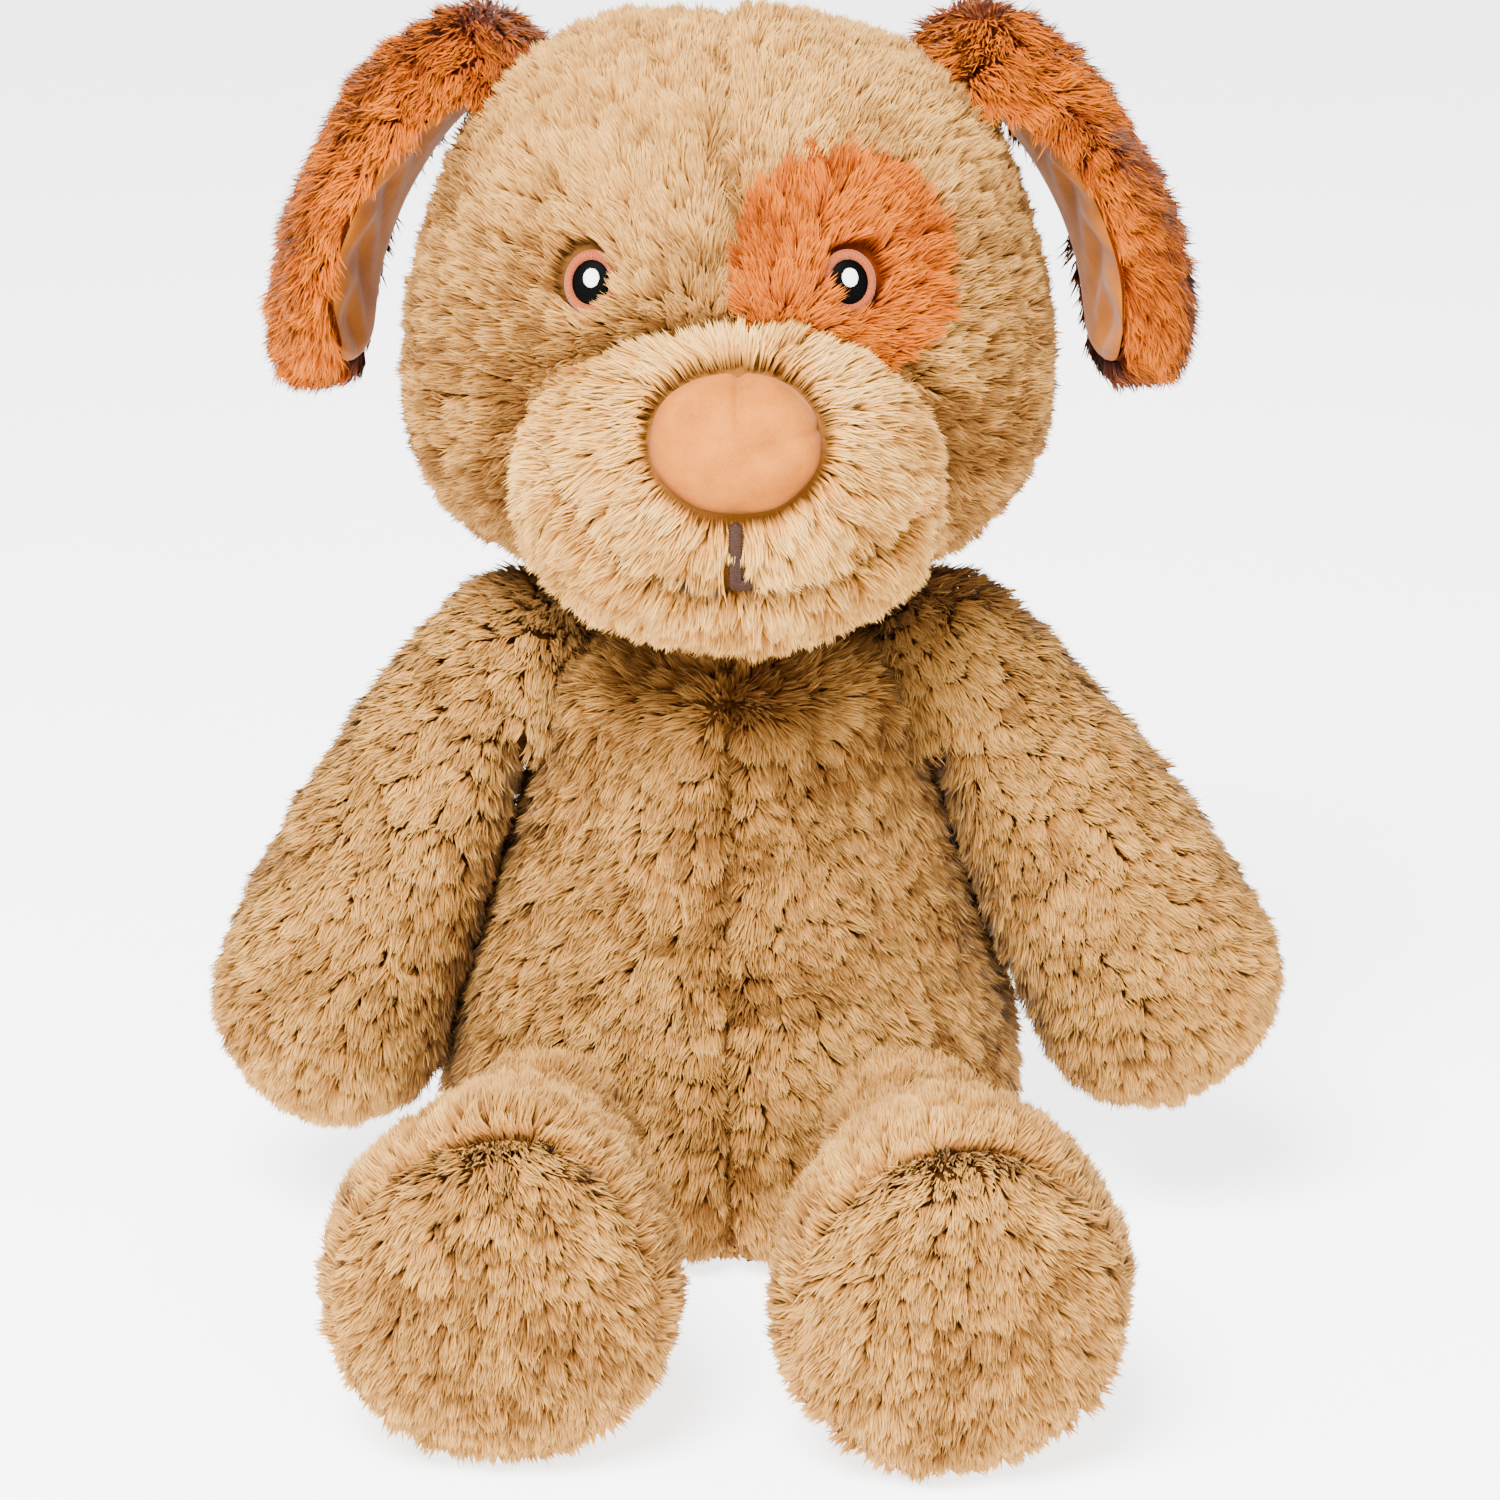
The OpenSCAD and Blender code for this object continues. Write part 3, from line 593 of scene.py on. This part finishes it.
for s, k in sides.items():
    splay = np.radians(leg["splay"][s])
    way = np.array([k * np.sin(splay), -np.cos(splay), 0])
    length = leg["length"][s]
    whole = legLine(length, leg["inset"])
    start = np.flatnonzero((whole[:, 0] < leg["soleSeam"] - leg["inset"] * 0.4)
                           & (whole[:, 1] > length - leg["round"]))[0]
    shaftLine, soleLine = profile(whole[:start + 1]), profile(whole[start:])

    # The foot is a little narrower toward its top, and a seam dips in round the sole
    def legShape(p, along, angle, k=k, s=s, way=way, length=length):
        centreX = hipAt[s][0] + way[0] * along * mm
        share = ease((along - 40) / 50)
        high = (p[:, 2] / mm - leg["foot"]) / 40
        p[:, 0] = centreX + (p[:, 0] - centreX) * (leg["narrow"] - leg["topNarrow"] * share * high)
        middle = hipAt[s] + np.outer(along, way) * mm
        off = p - middle
        r = np.linalg.norm(off, axis=1) / mm
        dip = leg["seamDip"] * bell(r - leg["soleSeam"] + 2, 2.6) * (along > length - leg["round"])
        p = p - way * (dip * 0.8)[:, None] * mm
        p = p - unit(off) * (dip * 0.5)[:, None] * mm
        push = leg["lumps"] * swell(p, 0.04, 50 + k) * ease(along / 30)
        p = p + unit(off + way * 10 * mm) * push[:, None] * mm
        p[:, 2] = np.maximum(p[:, 2] - leg["drop"] * mm * (1 - ease((along - 20) / 70)), 1.5 * mm)
        return p

    def soleRimAndPaintedTopLight(p, s=s, way=way, length=length):   # palest round the rim, darkest in the middle, and paler toward its top as painted light
        r = np.linalg.norm(p - (hipAt[s] + way * length * mm), axis=1) / mm
        return 0.22 * ease((r - 16) / 26) - 0.14 + 0.08 * ease((p[:, 2] / mm - 55) / 30)

    def legTone(p, way=way, s=s):
        return 0.02 + 0.22 * ease(((p - hipAt[s]) @ way / mm - 90) / 30)

    def combLeg(p, way=way):
        return np.array([0, 0, 0.25]) * np.sign(p[:, 2:3] - leg["foot"] * mm) - way

    def combSole(p, s=s, way=way, length=length):
        heart = hipAt[s] + way * (length - 30) * mm + np.array([0, 0, 24]) * mm
        return p - heart + np.array([0, 0, -12]) * mm

    core = hipAt[s] + way * 70 * mm
    up = np.array([0, 0, 1.0])
    for panel, (a, b) in {"top": (-np.pi / 2, np.pi / 2), "under": (np.pi / 2, 3 * np.pi / 2)}.items():
        plushPanel(f"{s}_leg_{panel}_plush", limbSurface(hipAt[s], way, up, shaftLine, a, b, legShape), core,
                   combLeg, tanPlush, f"{s}_leg",
                   [f"{s}_leg_{panel}_panel"] + [f"{s}_leg_stuffing"] * (panel == "top"), "tan_plush",
                   seed=40 + k * 2 + (panel == "under"), toneAndPaintedLight=legTone,
                   **(frontPile if panel == "top" else backPile))
    plushPanel(f"{s}_sole_plush", limbSurface(hipAt[s], way, up, soleLine, 0, 2 * np.pi, legShape),
               hipAt[s] + way * 60 * mm, combSole, tanPlush, f"{s}_leg", [f"{s}_sole_panel"], "tan_plush",
               seed=45 + k, perMm2=4.0, hair=8, lean=40, lock=3.6, toneAndPaintedLight=soleRimAndPaintedTopLight)
print("legs ready")


# The head: an egg on its side, with its face, its back and the patch round one eye
head = {"centre": (0, -6, 257), "half": 87, "round": 80, "square": 2.4, "seam": 16, "inset": 6.5,
        "jowl": 0.07, "temple": 0.055, "crownSeam": 2.4, "lumps": 1.6}
headAt = np.array(head["centre"]) * mm
muzzle = {"centre": (0, -64, 224), "half": 56, "round": 46, "square": 2.4, "inset": 6.0, "smileLow": 202,
          "smileDip": 5.0, "lumps": 1.0}
muzzleAt = np.array(muzzle["centre"]) * mm
noseAt = np.array([2, -98.0, 238.5]) * mm
eyeAt = {"left": 30, "right": -34}   # how far each eye is from the middle, in mm


# Thickness of an egg that lies along X, at a place x of its half length
def eggRound(x, half, r, square):
    return r * np.maximum(1 - (np.abs(x) / half) ** square, 0) ** (1 / square)


def headWide(z):
    return 1 + head["jowl"] * bell(z + 42, 30) - head["temple"] * bell(z - 35, 25)


# The head: rings round the X axis. u goes from the middle to the side, v from under the chin, over the
# face, to the side seam (front), or from the side seam down the back of the head (back)
def headSurface(k, front):
    def surf(u, v):
        half, r0 = head["half"] - head["inset"], head["round"] - head["inset"]
        lie = np.sin(u * np.pi / 2) ** 0.9
        x = half * lie
        r = np.maximum(eggRound(x, half, r0, head["square"]), 1e-4)
        turn = np.arcsin(np.clip(head["seam"] / r, -1, 1))
        if front:
            angle = mix(-(np.pi / 2 + turn), np.pi / 2 + turn, v)
        else:
            angle = mix(np.pi / 2 + turn, 3 * np.pi / 2 - turn, v)
        y, z = -r * np.cos(angle), r * np.sin(angle)
        p = np.stack([k * x * headWide(z), y, z], 1) * mm + headAt
        dent = head["crownSeam"] * bell(x, 4.0) * ease((z - 5) / 30)
        out = np.stack([k * x / half * 0.6, -np.cos(angle), np.sin(angle)], 1)
        return p + unit(out) * (head["lumps"] * swell(p, 0.055, 61) - dent)[:, None] * mm
    return surf


def backSurface(u, v):   # both halves of the back of the head in one panel
    half, r0 = head["half"] - head["inset"], head["round"] - head["inset"]
    widest = half * (1 - (head["seam"] / r0) ** head["square"]) ** (1 / head["square"])
    x = widest * np.sin((u - 0.5) * np.pi)
    r = np.maximum(eggRound(x, half, r0, head["square"]), head["seam"] + 1e-3)
    turn = np.arcsin(np.clip(head["seam"] / r, -1, 1))
    angle = mix(np.pi / 2 + turn, 3 * np.pi / 2 - turn, v)
    y, z = -r * np.cos(angle), r * np.sin(angle)
    p = np.stack([x * headWide(z), y, z], 1) * mm + headAt
    out = np.stack([x / half * 0.6, -np.cos(angle), np.sin(angle)], 1)
    return p + unit(out) * (head["lumps"] * swell(p, 0.055, 61))[:, None] * mm


def inEgg(p, at, half, r, square, margin):
    q = (p - at) / mm
    return ((np.abs(q[:, 0]) / (half - margin)) ** square
            + (np.hypot(q[:, 1], q[:, 2]) / (r - margin)) ** square) < 1


patch = {"centre": (28.5, 277), "round": 26, "lift": 0.8}
eye = {"ring": (7.3, 8.4), "disc": (5.3, 6.0), "glint": 2.2, "pitch": 15, "stitches": 44, "thick": 1.5}


def inPatch(p):
    return (np.hypot(p[:, 0] / mm - patch["centre"][0], p[:, 2] / mm - patch["centre"][1])
            < patch["round"] - 1) & (p[:, 1] < headAt[1])


# Where the head's own surface is, for a sideways place x and an angle up round the X axis
def onHead(x, up, proud=0.0):
    r = eggRound(x, head["half"] - head["inset"], head["round"] - head["inset"], head["square"])
    z = r * np.sin(up)
    p = np.stack([x, -r * np.cos(up), z], -1) * mm + headAt
    out = unit(np.stack([np.sign(x) * (np.abs(x) / head["half"]) ** (head["square"] - 1) * head["round"]
                         / head["half"], -np.cos(up), np.sin(up)], -1))
    return p + out * proud * mm, out


def nearEye(p, wider=0.0):
    close = np.zeros(len(p), bool)
    for x in eyeAt.values():
        at, _ = onHead(np.array(float(x)), np.radians(eye["pitch"]))
        q = (p - at) / mm
        close |= (q[:, 0] / (eye["ring"][0] + wider)) ** 2 + (q[:, 2] / (eye["ring"][1] + wider)) ** 2 < 1
    return close & (p[:, 1] < headAt[1])


def headBare(p):
    return (inEgg(p, muzzleAt, muzzle["half"], muzzle["round"], muzzle["square"], muzzle["inset"] + 2)
            | nearEye(p, 0.6) | inBall(p, neckAt, 27))


def faceBare(p):
    return headBare(p) | inPatch(p)


def combFromNose(p):
    away = p - (noseAt + np.array([0, 0, 0.012]))
    return unit(away) + np.array([0, 0.3, 0])


def combHeadBack(p):
    return np.stack([0.3 * p[:, 0] / 0.08, 0 * p[:, 0], 0 * p[:, 0] - 1], 1)


# How far a point is outside an egg, in mm, roughly: the seam lies where two eggs meet
def outsideEgg(p, at, form):
    q = (p - at) / mm
    share = ((np.abs(q[:, 0]) / (form["half"] - form["inset"])) ** form["square"]
             + (np.hypot(q[:, 1], q[:, 2]) / (form["round"] - form["inset"])) ** form["square"])
    return (share ** (1 / form["square"]) - 1) * (form["round"] - form["inset"])


def facePaintedLight(p):   # painted light and shade: the crown is the palest, the cheeks darken toward the jaw, and the seams are darkened with painted shade
    z = p[:, 2] / mm
    seam = bell(outsideEgg(p, muzzleAt, muzzle) - 2.5, 4.5) * (p[:, 1] < headAt[1])
    cheek = ease((np.abs(p[:, 0] / mm) - 42) / 38)
    return (0.26 * ease((z - 280) / 45) - 0.04 - 0.12 * ease((240 - z) / 60) - 0.26 * cheek - 0.34 * seam
            - 0.2 * bell(p[:, 0] / mm, 2.5) * (z > 270))


def faceHair(p):
    seam = bell(outsideEgg(p, muzzleAt, muzzle) - 2, 4.0) * (p[:, 1] < headAt[1])
    return 1 - 0.5 * seam - 0.25 * bell(p[:, 0] / mm, 3) * (p[:, 2] > 270 * mm)


for s, k in sides.items():
    plushPanel(f"face_{s}_plush", headSurface(k, True), headAt, combFromNose, tanPlush, "head",
               [f"face_panel_{s}"] + ["head_stuffing"] * (k > 0), "tan_plush", toneAndPaintedLight=facePaintedLight, bare=faceBare,
               hairAt=faceHair, seed=60 + k, hair=9.5)
plushPanel("head_back_plush", backSurface, headAt, combHeadBack, tanPlush, "head", ["head_back_panel"],
           "tan_plush", toneAndPaintedLight=facePaintedLight, bare=headBare, seed=64, **backPile)


# The orange patch: rings about its middle, laid on the face a little proud of it
def patchSurface(u, v):
    r, angle = patch["round"] * np.sqrt(u * 0.998 + 0.002), 2 * np.pi * v
    x = patch["centre"][0] + r * np.cos(angle)
    z = patch["centre"][1] + r * np.sin(angle) - head["centre"][2]
    x = np.maximum(x, 2.2)
    ring = eggRound(x, head["half"] - head["inset"], head["round"] - head["inset"], head["square"])
    up = np.arcsin(np.clip(z / ring, -0.999, 0.999))
    p, out = onHead(x, up)
    p[:, 0] = p[:, 0] * headWide(z)
    return p + out * (patch["lift"] + head["lumps"] * swell(p, 0.055, 61))[:, None] * mm


def combFromBrow(p):
    return p - (noseAt + np.array([0.012, 0.03, 0.02]))


plushPanel("eye_patch_plush", patchSurface, headAt, combFromBrow, orangePlush, "head", ["eye_patch"],
           "orange_plush", bare=headBare, hairAt=faceHair, seed=66, perMm2=4.5, hair=10, lock=4.2)
print("head ready")


mouth = {"x": 2.0, "top": 221, "bottom": 203.5, "wide": 3.6, "foot": 4.2, "thick": 3.0, "proud": 6.5}


def smileAt(x):   # height of the smile's crease: low in the middle, and up toward both cheeks
    d = x - 2
    return muzzle["smileLow"] + d ** 2 * np.where(d > 0, 0.0085, 0.0150)


# The muzzle is an egg along X. The upper panel runs from the smile's crease over the nose, and the chin
# from the crease down under the head; the crease pulls in between them.
def muzzleSurface(upper):
    def surf(u, v):
        half, r0 = muzzle["half"] - muzzle["inset"], muzzle["round"] - muzzle["inset"]
        lie = 2 * u - 1
        x = half * np.sin(lie * np.pi / 2)
        r = np.maximum(eggRound(x, half, r0, muzzle["square"]), 1e-4)
        crease = np.arcsin(np.clip((smileAt(x) - muzzle["centre"][2]) / r, -0.98, 0.98))
        angle = mix(crease, 0.86 * np.pi, v) if upper else mix(crease, -0.80 * np.pi, v)
        p = np.stack([x, -r * np.cos(angle), r * np.sin(angle)], 1) * mm + muzzleAt
        away = np.abs(angle - crease) * r
        dent = muzzle["smileDip"] * bell(away, 3.2) * ease((50 - np.abs(x)) / 12)
        out = np.stack([x / half * 0.7, -np.cos(angle), np.sin(angle)], 1)
        return p + unit(out) * (muzzle["lumps"] * swell(p, 0.04, 71) - dent)[:, None] * mm
    return surf


def muzzleBare(p):
    onMouth = ((np.abs(p[:, 0] / mm - mouth["x"]) < 3.6) & (p[:, 2] / mm > mouth["bottom"] - 3)
               & (p[:, 2] / mm < 217) & (p[:, 1] < muzzleAt[1]))
    return (inEgg(p, headAt, head["half"], head["round"], head["square"], head["inset"] + 1.5)
            | inEgg(p, noseAt, 21.5, 18.0, 2, -0.5) | onMouth)


def fromNose(p):
    q = (p - noseAt) / mm
    return np.hypot(np.maximum(np.abs(q[:, 0]) - 8, 0), np.hypot(q[:, 1], q[:, 2]))


def smileGap(p):   # distance from the crease of the smile, where there is one
    onSmile = ease((48 - np.abs(p[:, 0] / mm - 6)) / 8) * (p[:, 1] < muzzleAt[1] - 8 * mm)
    return bell(p[:, 2] / mm - smileAt(p[:, 0] / mm), 2.6) * onSmile


def muzzleCreamAndPaintedLight(p):   # cream round the nose, browner toward the cheeks; painted light makes the top paler, and painted shade darkens under the smile, its crease and the seam
    near = ease((34 - fromNose(p)) / 22)
    low = ease((206 - p[:, 2] / mm) / 20)
    seam = bell(outsideEgg(p, headAt, head) - 1.5, 4.0)
    return 0.36 * near - 0.14 * low + 0.1 * ease((p[:, 2] / mm - 245) / 15) - 0.34 * seam - 0.42 * smileGap(p)


def muzzleHair(p):
    seam = bell(outsideEgg(p, headAt, head) - 1.5, 4.0)
    return (1.0 + 0.25 * bell(fromNose(p) - 22, 9)) * (1 - 0.45 * seam) * (1 - 0.55 * smileGap(p))


def combMuzzle(p):
    away = p - (noseAt + np.array([0, 0.012, 0.0]))
    return unit(away) + np.array([0, 0, -0.12])


for panel, upper in {"muzzle": True, "chin": False}.items():
    plushPanel(f"{panel}_plush", muzzleSurface(upper), muzzleAt, combMuzzle, palePlush, "head",
               [f"{panel}_panel"], "pale_plush", toneAndPaintedLight=muzzleCreamAndPaintedLight, bare=muzzleBare, hairAt=muzzleHair,
               seed=70 + upper, perMm2=4.4, hair=9.5, turn=20)
print("muzzle ready")


nose = {"half": 21.5, "round": 18.0, "dart": 1.3, "cross": 0.7}


# The nose is a padded oval of velboa: a dart runs down from its top and a shallow fold runs across it
def noseSurface(u, v):
    x = nose["half"] * np.sin((u - 0.5) * np.pi)
    r = nose["round"] * np.maximum(1 - (np.abs(x) / nose["half"]) ** 2.2, 0) ** (1 / 2.2)
    angle = 2 * np.pi * v
    p = np.stack([x, -r * np.cos(angle) * 0.92, r * np.sin(angle)], 1)
    dart = nose["dart"] * bell(x - 0.6, 1.3) * ease((p[:, 2] - 1) / 12)
    fold = nose["cross"] * bell(p[:, 2] - 1.5 - 0.12 * x, 1.4) * ease((x - 1) / 6)
    out = unit(p + 1e-9)
    return (p - out * (dart + fold)[:, None] + out * (0.35 * swell(p * mm, 0.02, 75))[:, None]) * mm + noseAt


def plainPiece(name, surf, core, nu, nv, material, body, nodes, slot):
    gu, gv = (x.ravel() for x in np.meshgrid(np.linspace(0, 1, nu), np.linspace(0, 1, nv), indexing="ij"))
    points, _, _, turned = surfaceFrame(surf, gu, gv, core)
    quads = gridFaces(nu, nv, turned < 0)
    made = meshObject(name, points, quads, np.zeros((0, 3), int), None, None, material)
    bpy.context.view_layer.objects.active = made
    weld = made.modifiers.new("weld", "WELD")   # joins the grid's two ends and closes its poles
    weld.merge_threshold = 0.02 * mm
    apply(made)
    finish(made, body, nodes, slot)
    return made


def apply(made):
    baked = bpy.data.meshes.new_from_object(made.evaluated_get(bpy.context.evaluated_depsgraph_get()))
    made.modifiers.clear()
    old, made.data = made.data, baked
    bpy.data.meshes.remove(old)


noseCover = plainPiece("nose_velboa", noseSurface, noseAt, 90, 120, peachVelboa, "head",
                       ["nose_cover", "nose_stuffing"], "peach_velboa")
print("nose ready")


# A ring of satin stitches: a low round ridge from the inner to the outer edge, ribbed by its threads.
# It lies on the face, flat to it, between two ovals.
def stitchedRing(x, inner, outer, thick, count, base):
    def surf(u, v):
        angle = 2 * np.pi * u
        hump = np.sin(np.pi * np.clip(v, 0, 1)) ** 0.6
        rib = 1 + 0.10 * np.cos(count * angle)
        a, b = mix(inner[0], outer[0], v), mix(inner[1], outer[1], v)
        at, out = onHead(np.array(float(x)), np.radians(eye["pitch"]), base)
        side = unit(np.cross(np.array([0, 0, 1.0]), out))
        up = np.cross(out, side)
        flat = np.outer(a * np.cos(angle), side) + np.outer(b * np.sin(angle), up)
        drop = (a * np.cos(angle)) ** 2 / 150 + (b * np.sin(angle)) ** 2 / 150
        return at + (flat + np.outer(thick * hump * rib - drop, out)) * mm
    return surf


# A filled satin-stitched oval: rows of threads side by side across it, rounded down at its edge
def stitchedOval(x, size, thick, thread, base, shift=(0, 0)):
    def surf(u, v):
        angle, share = 2 * np.pi * u, np.sqrt(v)
        a, b = size[0] * share * np.cos(angle), size[1] * share * np.sin(angle)
        at, out = onHead(np.array(float(x)), np.radians(eye["pitch"]), base)
        side = unit(np.cross(np.array([0, 0, 1.0]), out))
        up = np.cross(out, side)
        ribs = 0.09 * np.cos(2 * np.pi * a / thread) * (1 - share)
        dome = thick * np.sqrt(np.maximum(1 - share ** 4, 0)) + ribs
        a, b = a + shift[0], b + shift[1]
        drop = (a ** 2 + b ** 2) / 150
        return at + (np.outer(a, side) + np.outer(b, up) + np.outer(dome - drop, out)) * mm
    return surf


eyeBase = 3.4   # the stitching pulls the pile down, but lies above the backing
for s, x in eyeAt.items():
    plainPiece(f"{s}_eye_ring", stitchedRing(x, (eye["disc"][0] - 0.5, eye["disc"][1] - 0.5), eye["ring"],
                                             eye["thick"], eye["stitches"], eyeBase), headAt, 265, 12,
               terracottaThread, "head", [f"{s}_eye_ring"], "terracotta_thread")
    plainPiece(f"{s}_eye_disc", stitchedOval(x, eye["disc"], 1.3, 0.7, eyeBase), headAt, 97, 34, blackThread,
               "head", [f"{s}_eye_disc"], "black_thread")
    plainPiece(f"{s}_eye_glint", stitchedOval(x, (eye["glint"], eye["glint"] * 1.15), 0.7, 0.6, eyeBase + 1.0,
                                              (0.2, 1.0)), headAt, 61, 16, whiteThread, "head",
               [f"{s}_eye_glint"], "white_thread")

# The mouth line: one bar of satin stitch that turns into a short foot, its threads across the line
def mouthSurface(u, v):
    m = mouth
    bar = m["top"] - m["bottom"]
    total = bar + m["foot"]
    run = u * total
    x = np.where(run < bar, 0, run - bar)
    z = np.where(run < bar, m["top"] - run, m["bottom"])
    blend = ease((run - bar + 1.5) / 3)
    angle = 2 * np.pi * v
    roundEnds = np.minimum(1, np.sqrt(np.maximum(np.minimum(u, 1 - u), 0) * 18))
    wide = m["wide"] / 2 * roundEnds * (1 + 0.06 * np.cos(2 * np.pi * run / 0.8))
    across = np.stack([np.cos(blend * np.pi / 2), np.sin(blend * np.pi / 2)], 1)
    px = m["x"] + x + across[:, 0] * wide * np.cos(angle)
    pz = z + across[:, 1] * wide * np.cos(angle)
    r = eggRound(px, muzzle["half"] - muzzle["inset"], muzzle["round"] - muzzle["inset"], muzzle["square"])
    front = np.sqrt(np.maximum(r ** 2 - (pz - muzzle["centre"][2]) ** 2, 1))
    y = -front - m["proud"] - m["thick"] / 2 * np.sin(angle)
    return np.stack([px, y + muzzle["centre"][1], pz], 1) * mm


plainPiece("mouth_stitch_bar", mouthSurface, np.array([2, -60, 212]) * mm, 180, 25, brownThread, "head",
           ["mouth_stitch"], "brown_thread")
print("face ready")


ear = {"arcAt": (40, 255), "arc": 67, "root": 80, "tip": -14, "wide": 31, "yaw": 12, "thick": 16,
       "lining": 2.5, "curl": 4.0, "tuck": 9}


# An ear hangs along an arc beside the head. v runs from its sewn root to its tip, u across it from its
# back edge to its front edge, and lift is the way out of the outer face. The front edge curls forward.
def earPlace(k, across, down, lift):
    arcX, arcZ = ear["arcAt"]
    angle = np.radians(mix(ear["root"], ear["tip"], down))
    lean = 1.0 - 0.14 * ease(down * 1.6) * (1 - down)
    x = arcX + (ear["arc"] + lift) * np.cos(angle) * lean
    z = arcZ + (ear["arc"] + lift) * np.sin(angle) - ear["tuck"] * (1 - ease(down / 0.16)) ** 2
    turn = np.radians(ear["yaw"] + 10 - 9 * down)
    rootX = arcX + ear["arc"] * np.cos(np.radians(ear["root"]))
    p = np.stack([x - rootX, -across, z], 1)
    p = np.stack([rootX + p[:, 0] * np.cos(turn) - p[:, 1] * np.sin(turn),
                  p[:, 0] * np.sin(turn) + p[:, 1] * np.cos(turn), p[:, 2]], 1)
    p[:, 0] *= k
    return p * mm


def earHalfWidth(down):
    wide = mix(ear["wide"] * 0.62, ear["wide"], ease(down * 1.9))
    return wide * np.sqrt(np.maximum(1 - np.maximum((down - 0.66) / 0.34, 0) ** 2.2, 0.0))


def earSurface(k, outer):
    def surf(u, v):
        down = v ** 0.92
        side = np.sin((u - 0.5) * np.pi)
        half = earHalfWidth(down)
        across = half * side
        plump = np.sqrt(np.maximum(1 - side ** 2, 0)) ** 0.8
        plump = plump * np.minimum(1, half / 14) * ease(down / 0.12 + 0.05)
        if outer:
            lift = ear["thick"] * plump + 1.2 * swell(np.stack([across, 40 * down, 0 * down], 1), 22, 81 + k)
        else:
            wrinkle = 1.1 * np.sin(down * 34 + across * 0.12 + 2 * np.sin(across * 0.13))
            wrinkle = wrinkle * plump * ease(across / 20 + 0.6)
            lift = -ear["lining"] * plump + wrinkle
        curl = ear["curl"] * ease((across - 6) / 22) - 2.5 * ease((-across - 14) / 14)
        return earPlace(k, across, down, lift - curl)
    return surf


def earTone(p):
    return 0.05 * swell(p, 0.03, 83) + 0.02


for s, k in sides.items():
    earCore = np.array([k * 60, 0, 262]) * mm
    plushPanel(f"{s}_ear_plush", earSurface(k, True), earCore, lambda p: np.stack(
        [0.4 * np.sign(p[:, 0]), 0 * p[:, 0] - 0.25, 0 * p[:, 0] - 1], 1), orangePlush, f"{s}_ear",
        [f"{s}_ear_cover"], "orange_plush", toneAndPaintedLight=earTone, seed=80 + k, perMm2=4.0, hair=10, lock=5.0, turn=45,
        leanSpread=24, lean=48, bare=lambda p: np.hypot(np.abs(p[:, 0]) / mm - ear["arcAt"][0],
                                                       p[:, 2] / mm - ear["arcAt"][1]) < ear["arc"] - 8)
    lining = plainPiece(f"{s}_ear_velboa", earSurface(k, False), np.array([k * 200, 0, 262]) * mm, 60, 150,
                        peachVelboa, f"{s}_ear", [f"{s}_ear_lining"], "peach_velboa")
print("ears ready")


tail = {"at": (0, 84, 48), "up": 40, "length": 44, "root": 10.5, "wide": 13.5, "inset": 5.0}
tailAt, tailUp = np.array(tail["at"]) * mm, math.radians(tail["up"])
tailEnd = np.radians(np.linspace(0, 90, 12))[1:]
tailShare = np.linspace(0, 1, 10)
tailLine = profile(np.stack([
    np.concatenate([[0.0, 6.0], mix(tail["root"], tail["wide"], ease(tailShare)) - tail["inset"],
                    (tail["wide"] - tail["inset"]) * np.cos(tailEnd)]),
    np.concatenate([[-8.0, -6.0], tail["length"] * 0.62 * tailShare,
                    tail["length"] * (0.62 + 0.27 * np.sin(tailEnd))])], 1))
tailWay = np.array([0, math.cos(tailUp), math.sin(tailUp)])
tailFront = np.array([0, -math.sin(tailUp), math.cos(tailUp)])
plushPanel("tail_plush", limbSurface(tailAt, tailWay, tailFront, tailLine, 0, 2 * np.pi),
           tailAt + tailWay * 0.02, lambda p: np.tile([0, -0.3, -1.0], (len(p), 1)), orangePlush, "tail",
           ["tail_cover", "tail_stuffing"], "orange_plush", seed=90, perMm2=3.4, wide=0.75, hair=8)

label = {"x": (29, 49), "z": 10, "from": 70, "to": 98, "flat": (0.020, 0.028)}


def labelSurface(u, v):
    x = mix(*label["x"], u)
    y = mix(label["from"], label["to"], v)
    z = label["z"] - 4.0 * ease((v - 0.3) / 0.7) ** 1.5 + 0.5 * np.sin(2 * np.pi * u) * v
    return np.stack([x, y, z], 1) * mm


careLabel = plainPiece("care_label_ribbon", labelSurface, np.array([39, 80, -100]) * mm, 21, 30, satinRibbon,
                       "torso", ["care_label"], "satin_label")
ribbon = careLabel.modifiers.new("ribbon", "SOLIDIFY")
ribbon.thickness = 0.4 * mm
apply(careLabel)

for name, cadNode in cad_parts.items():   # the bag of pellets stays inside the seat as it is
    if name == "pellet_bag":
        for place in cadNode.material_slots:
            place.material = pelletCloth

floorMesh = bpy.data.meshes.new("floor")
floorMesh.from_pydata([(-6, -3, 0), (6, -3, 0), (6, 9, 0), (-6, 9, 0)], [], [(0, 1, 2, 3)])
floor = bpy.data.objects.new("floor", floorMesh)
bpy.context.scene.collection.objects.link(floor)
floorMesh.materials.append(paper)
sky = bpy.data.worlds.new("sky")
sky.use_nodes = True
sky.node_tree.nodes["Background"].inputs["Color"].default_value = (1, 1, 1, 1)
sky.node_tree.nodes["Background"].inputs["Strength"].default_value = stageLook["skyStrength"]
bpy.context.scene.world = sky
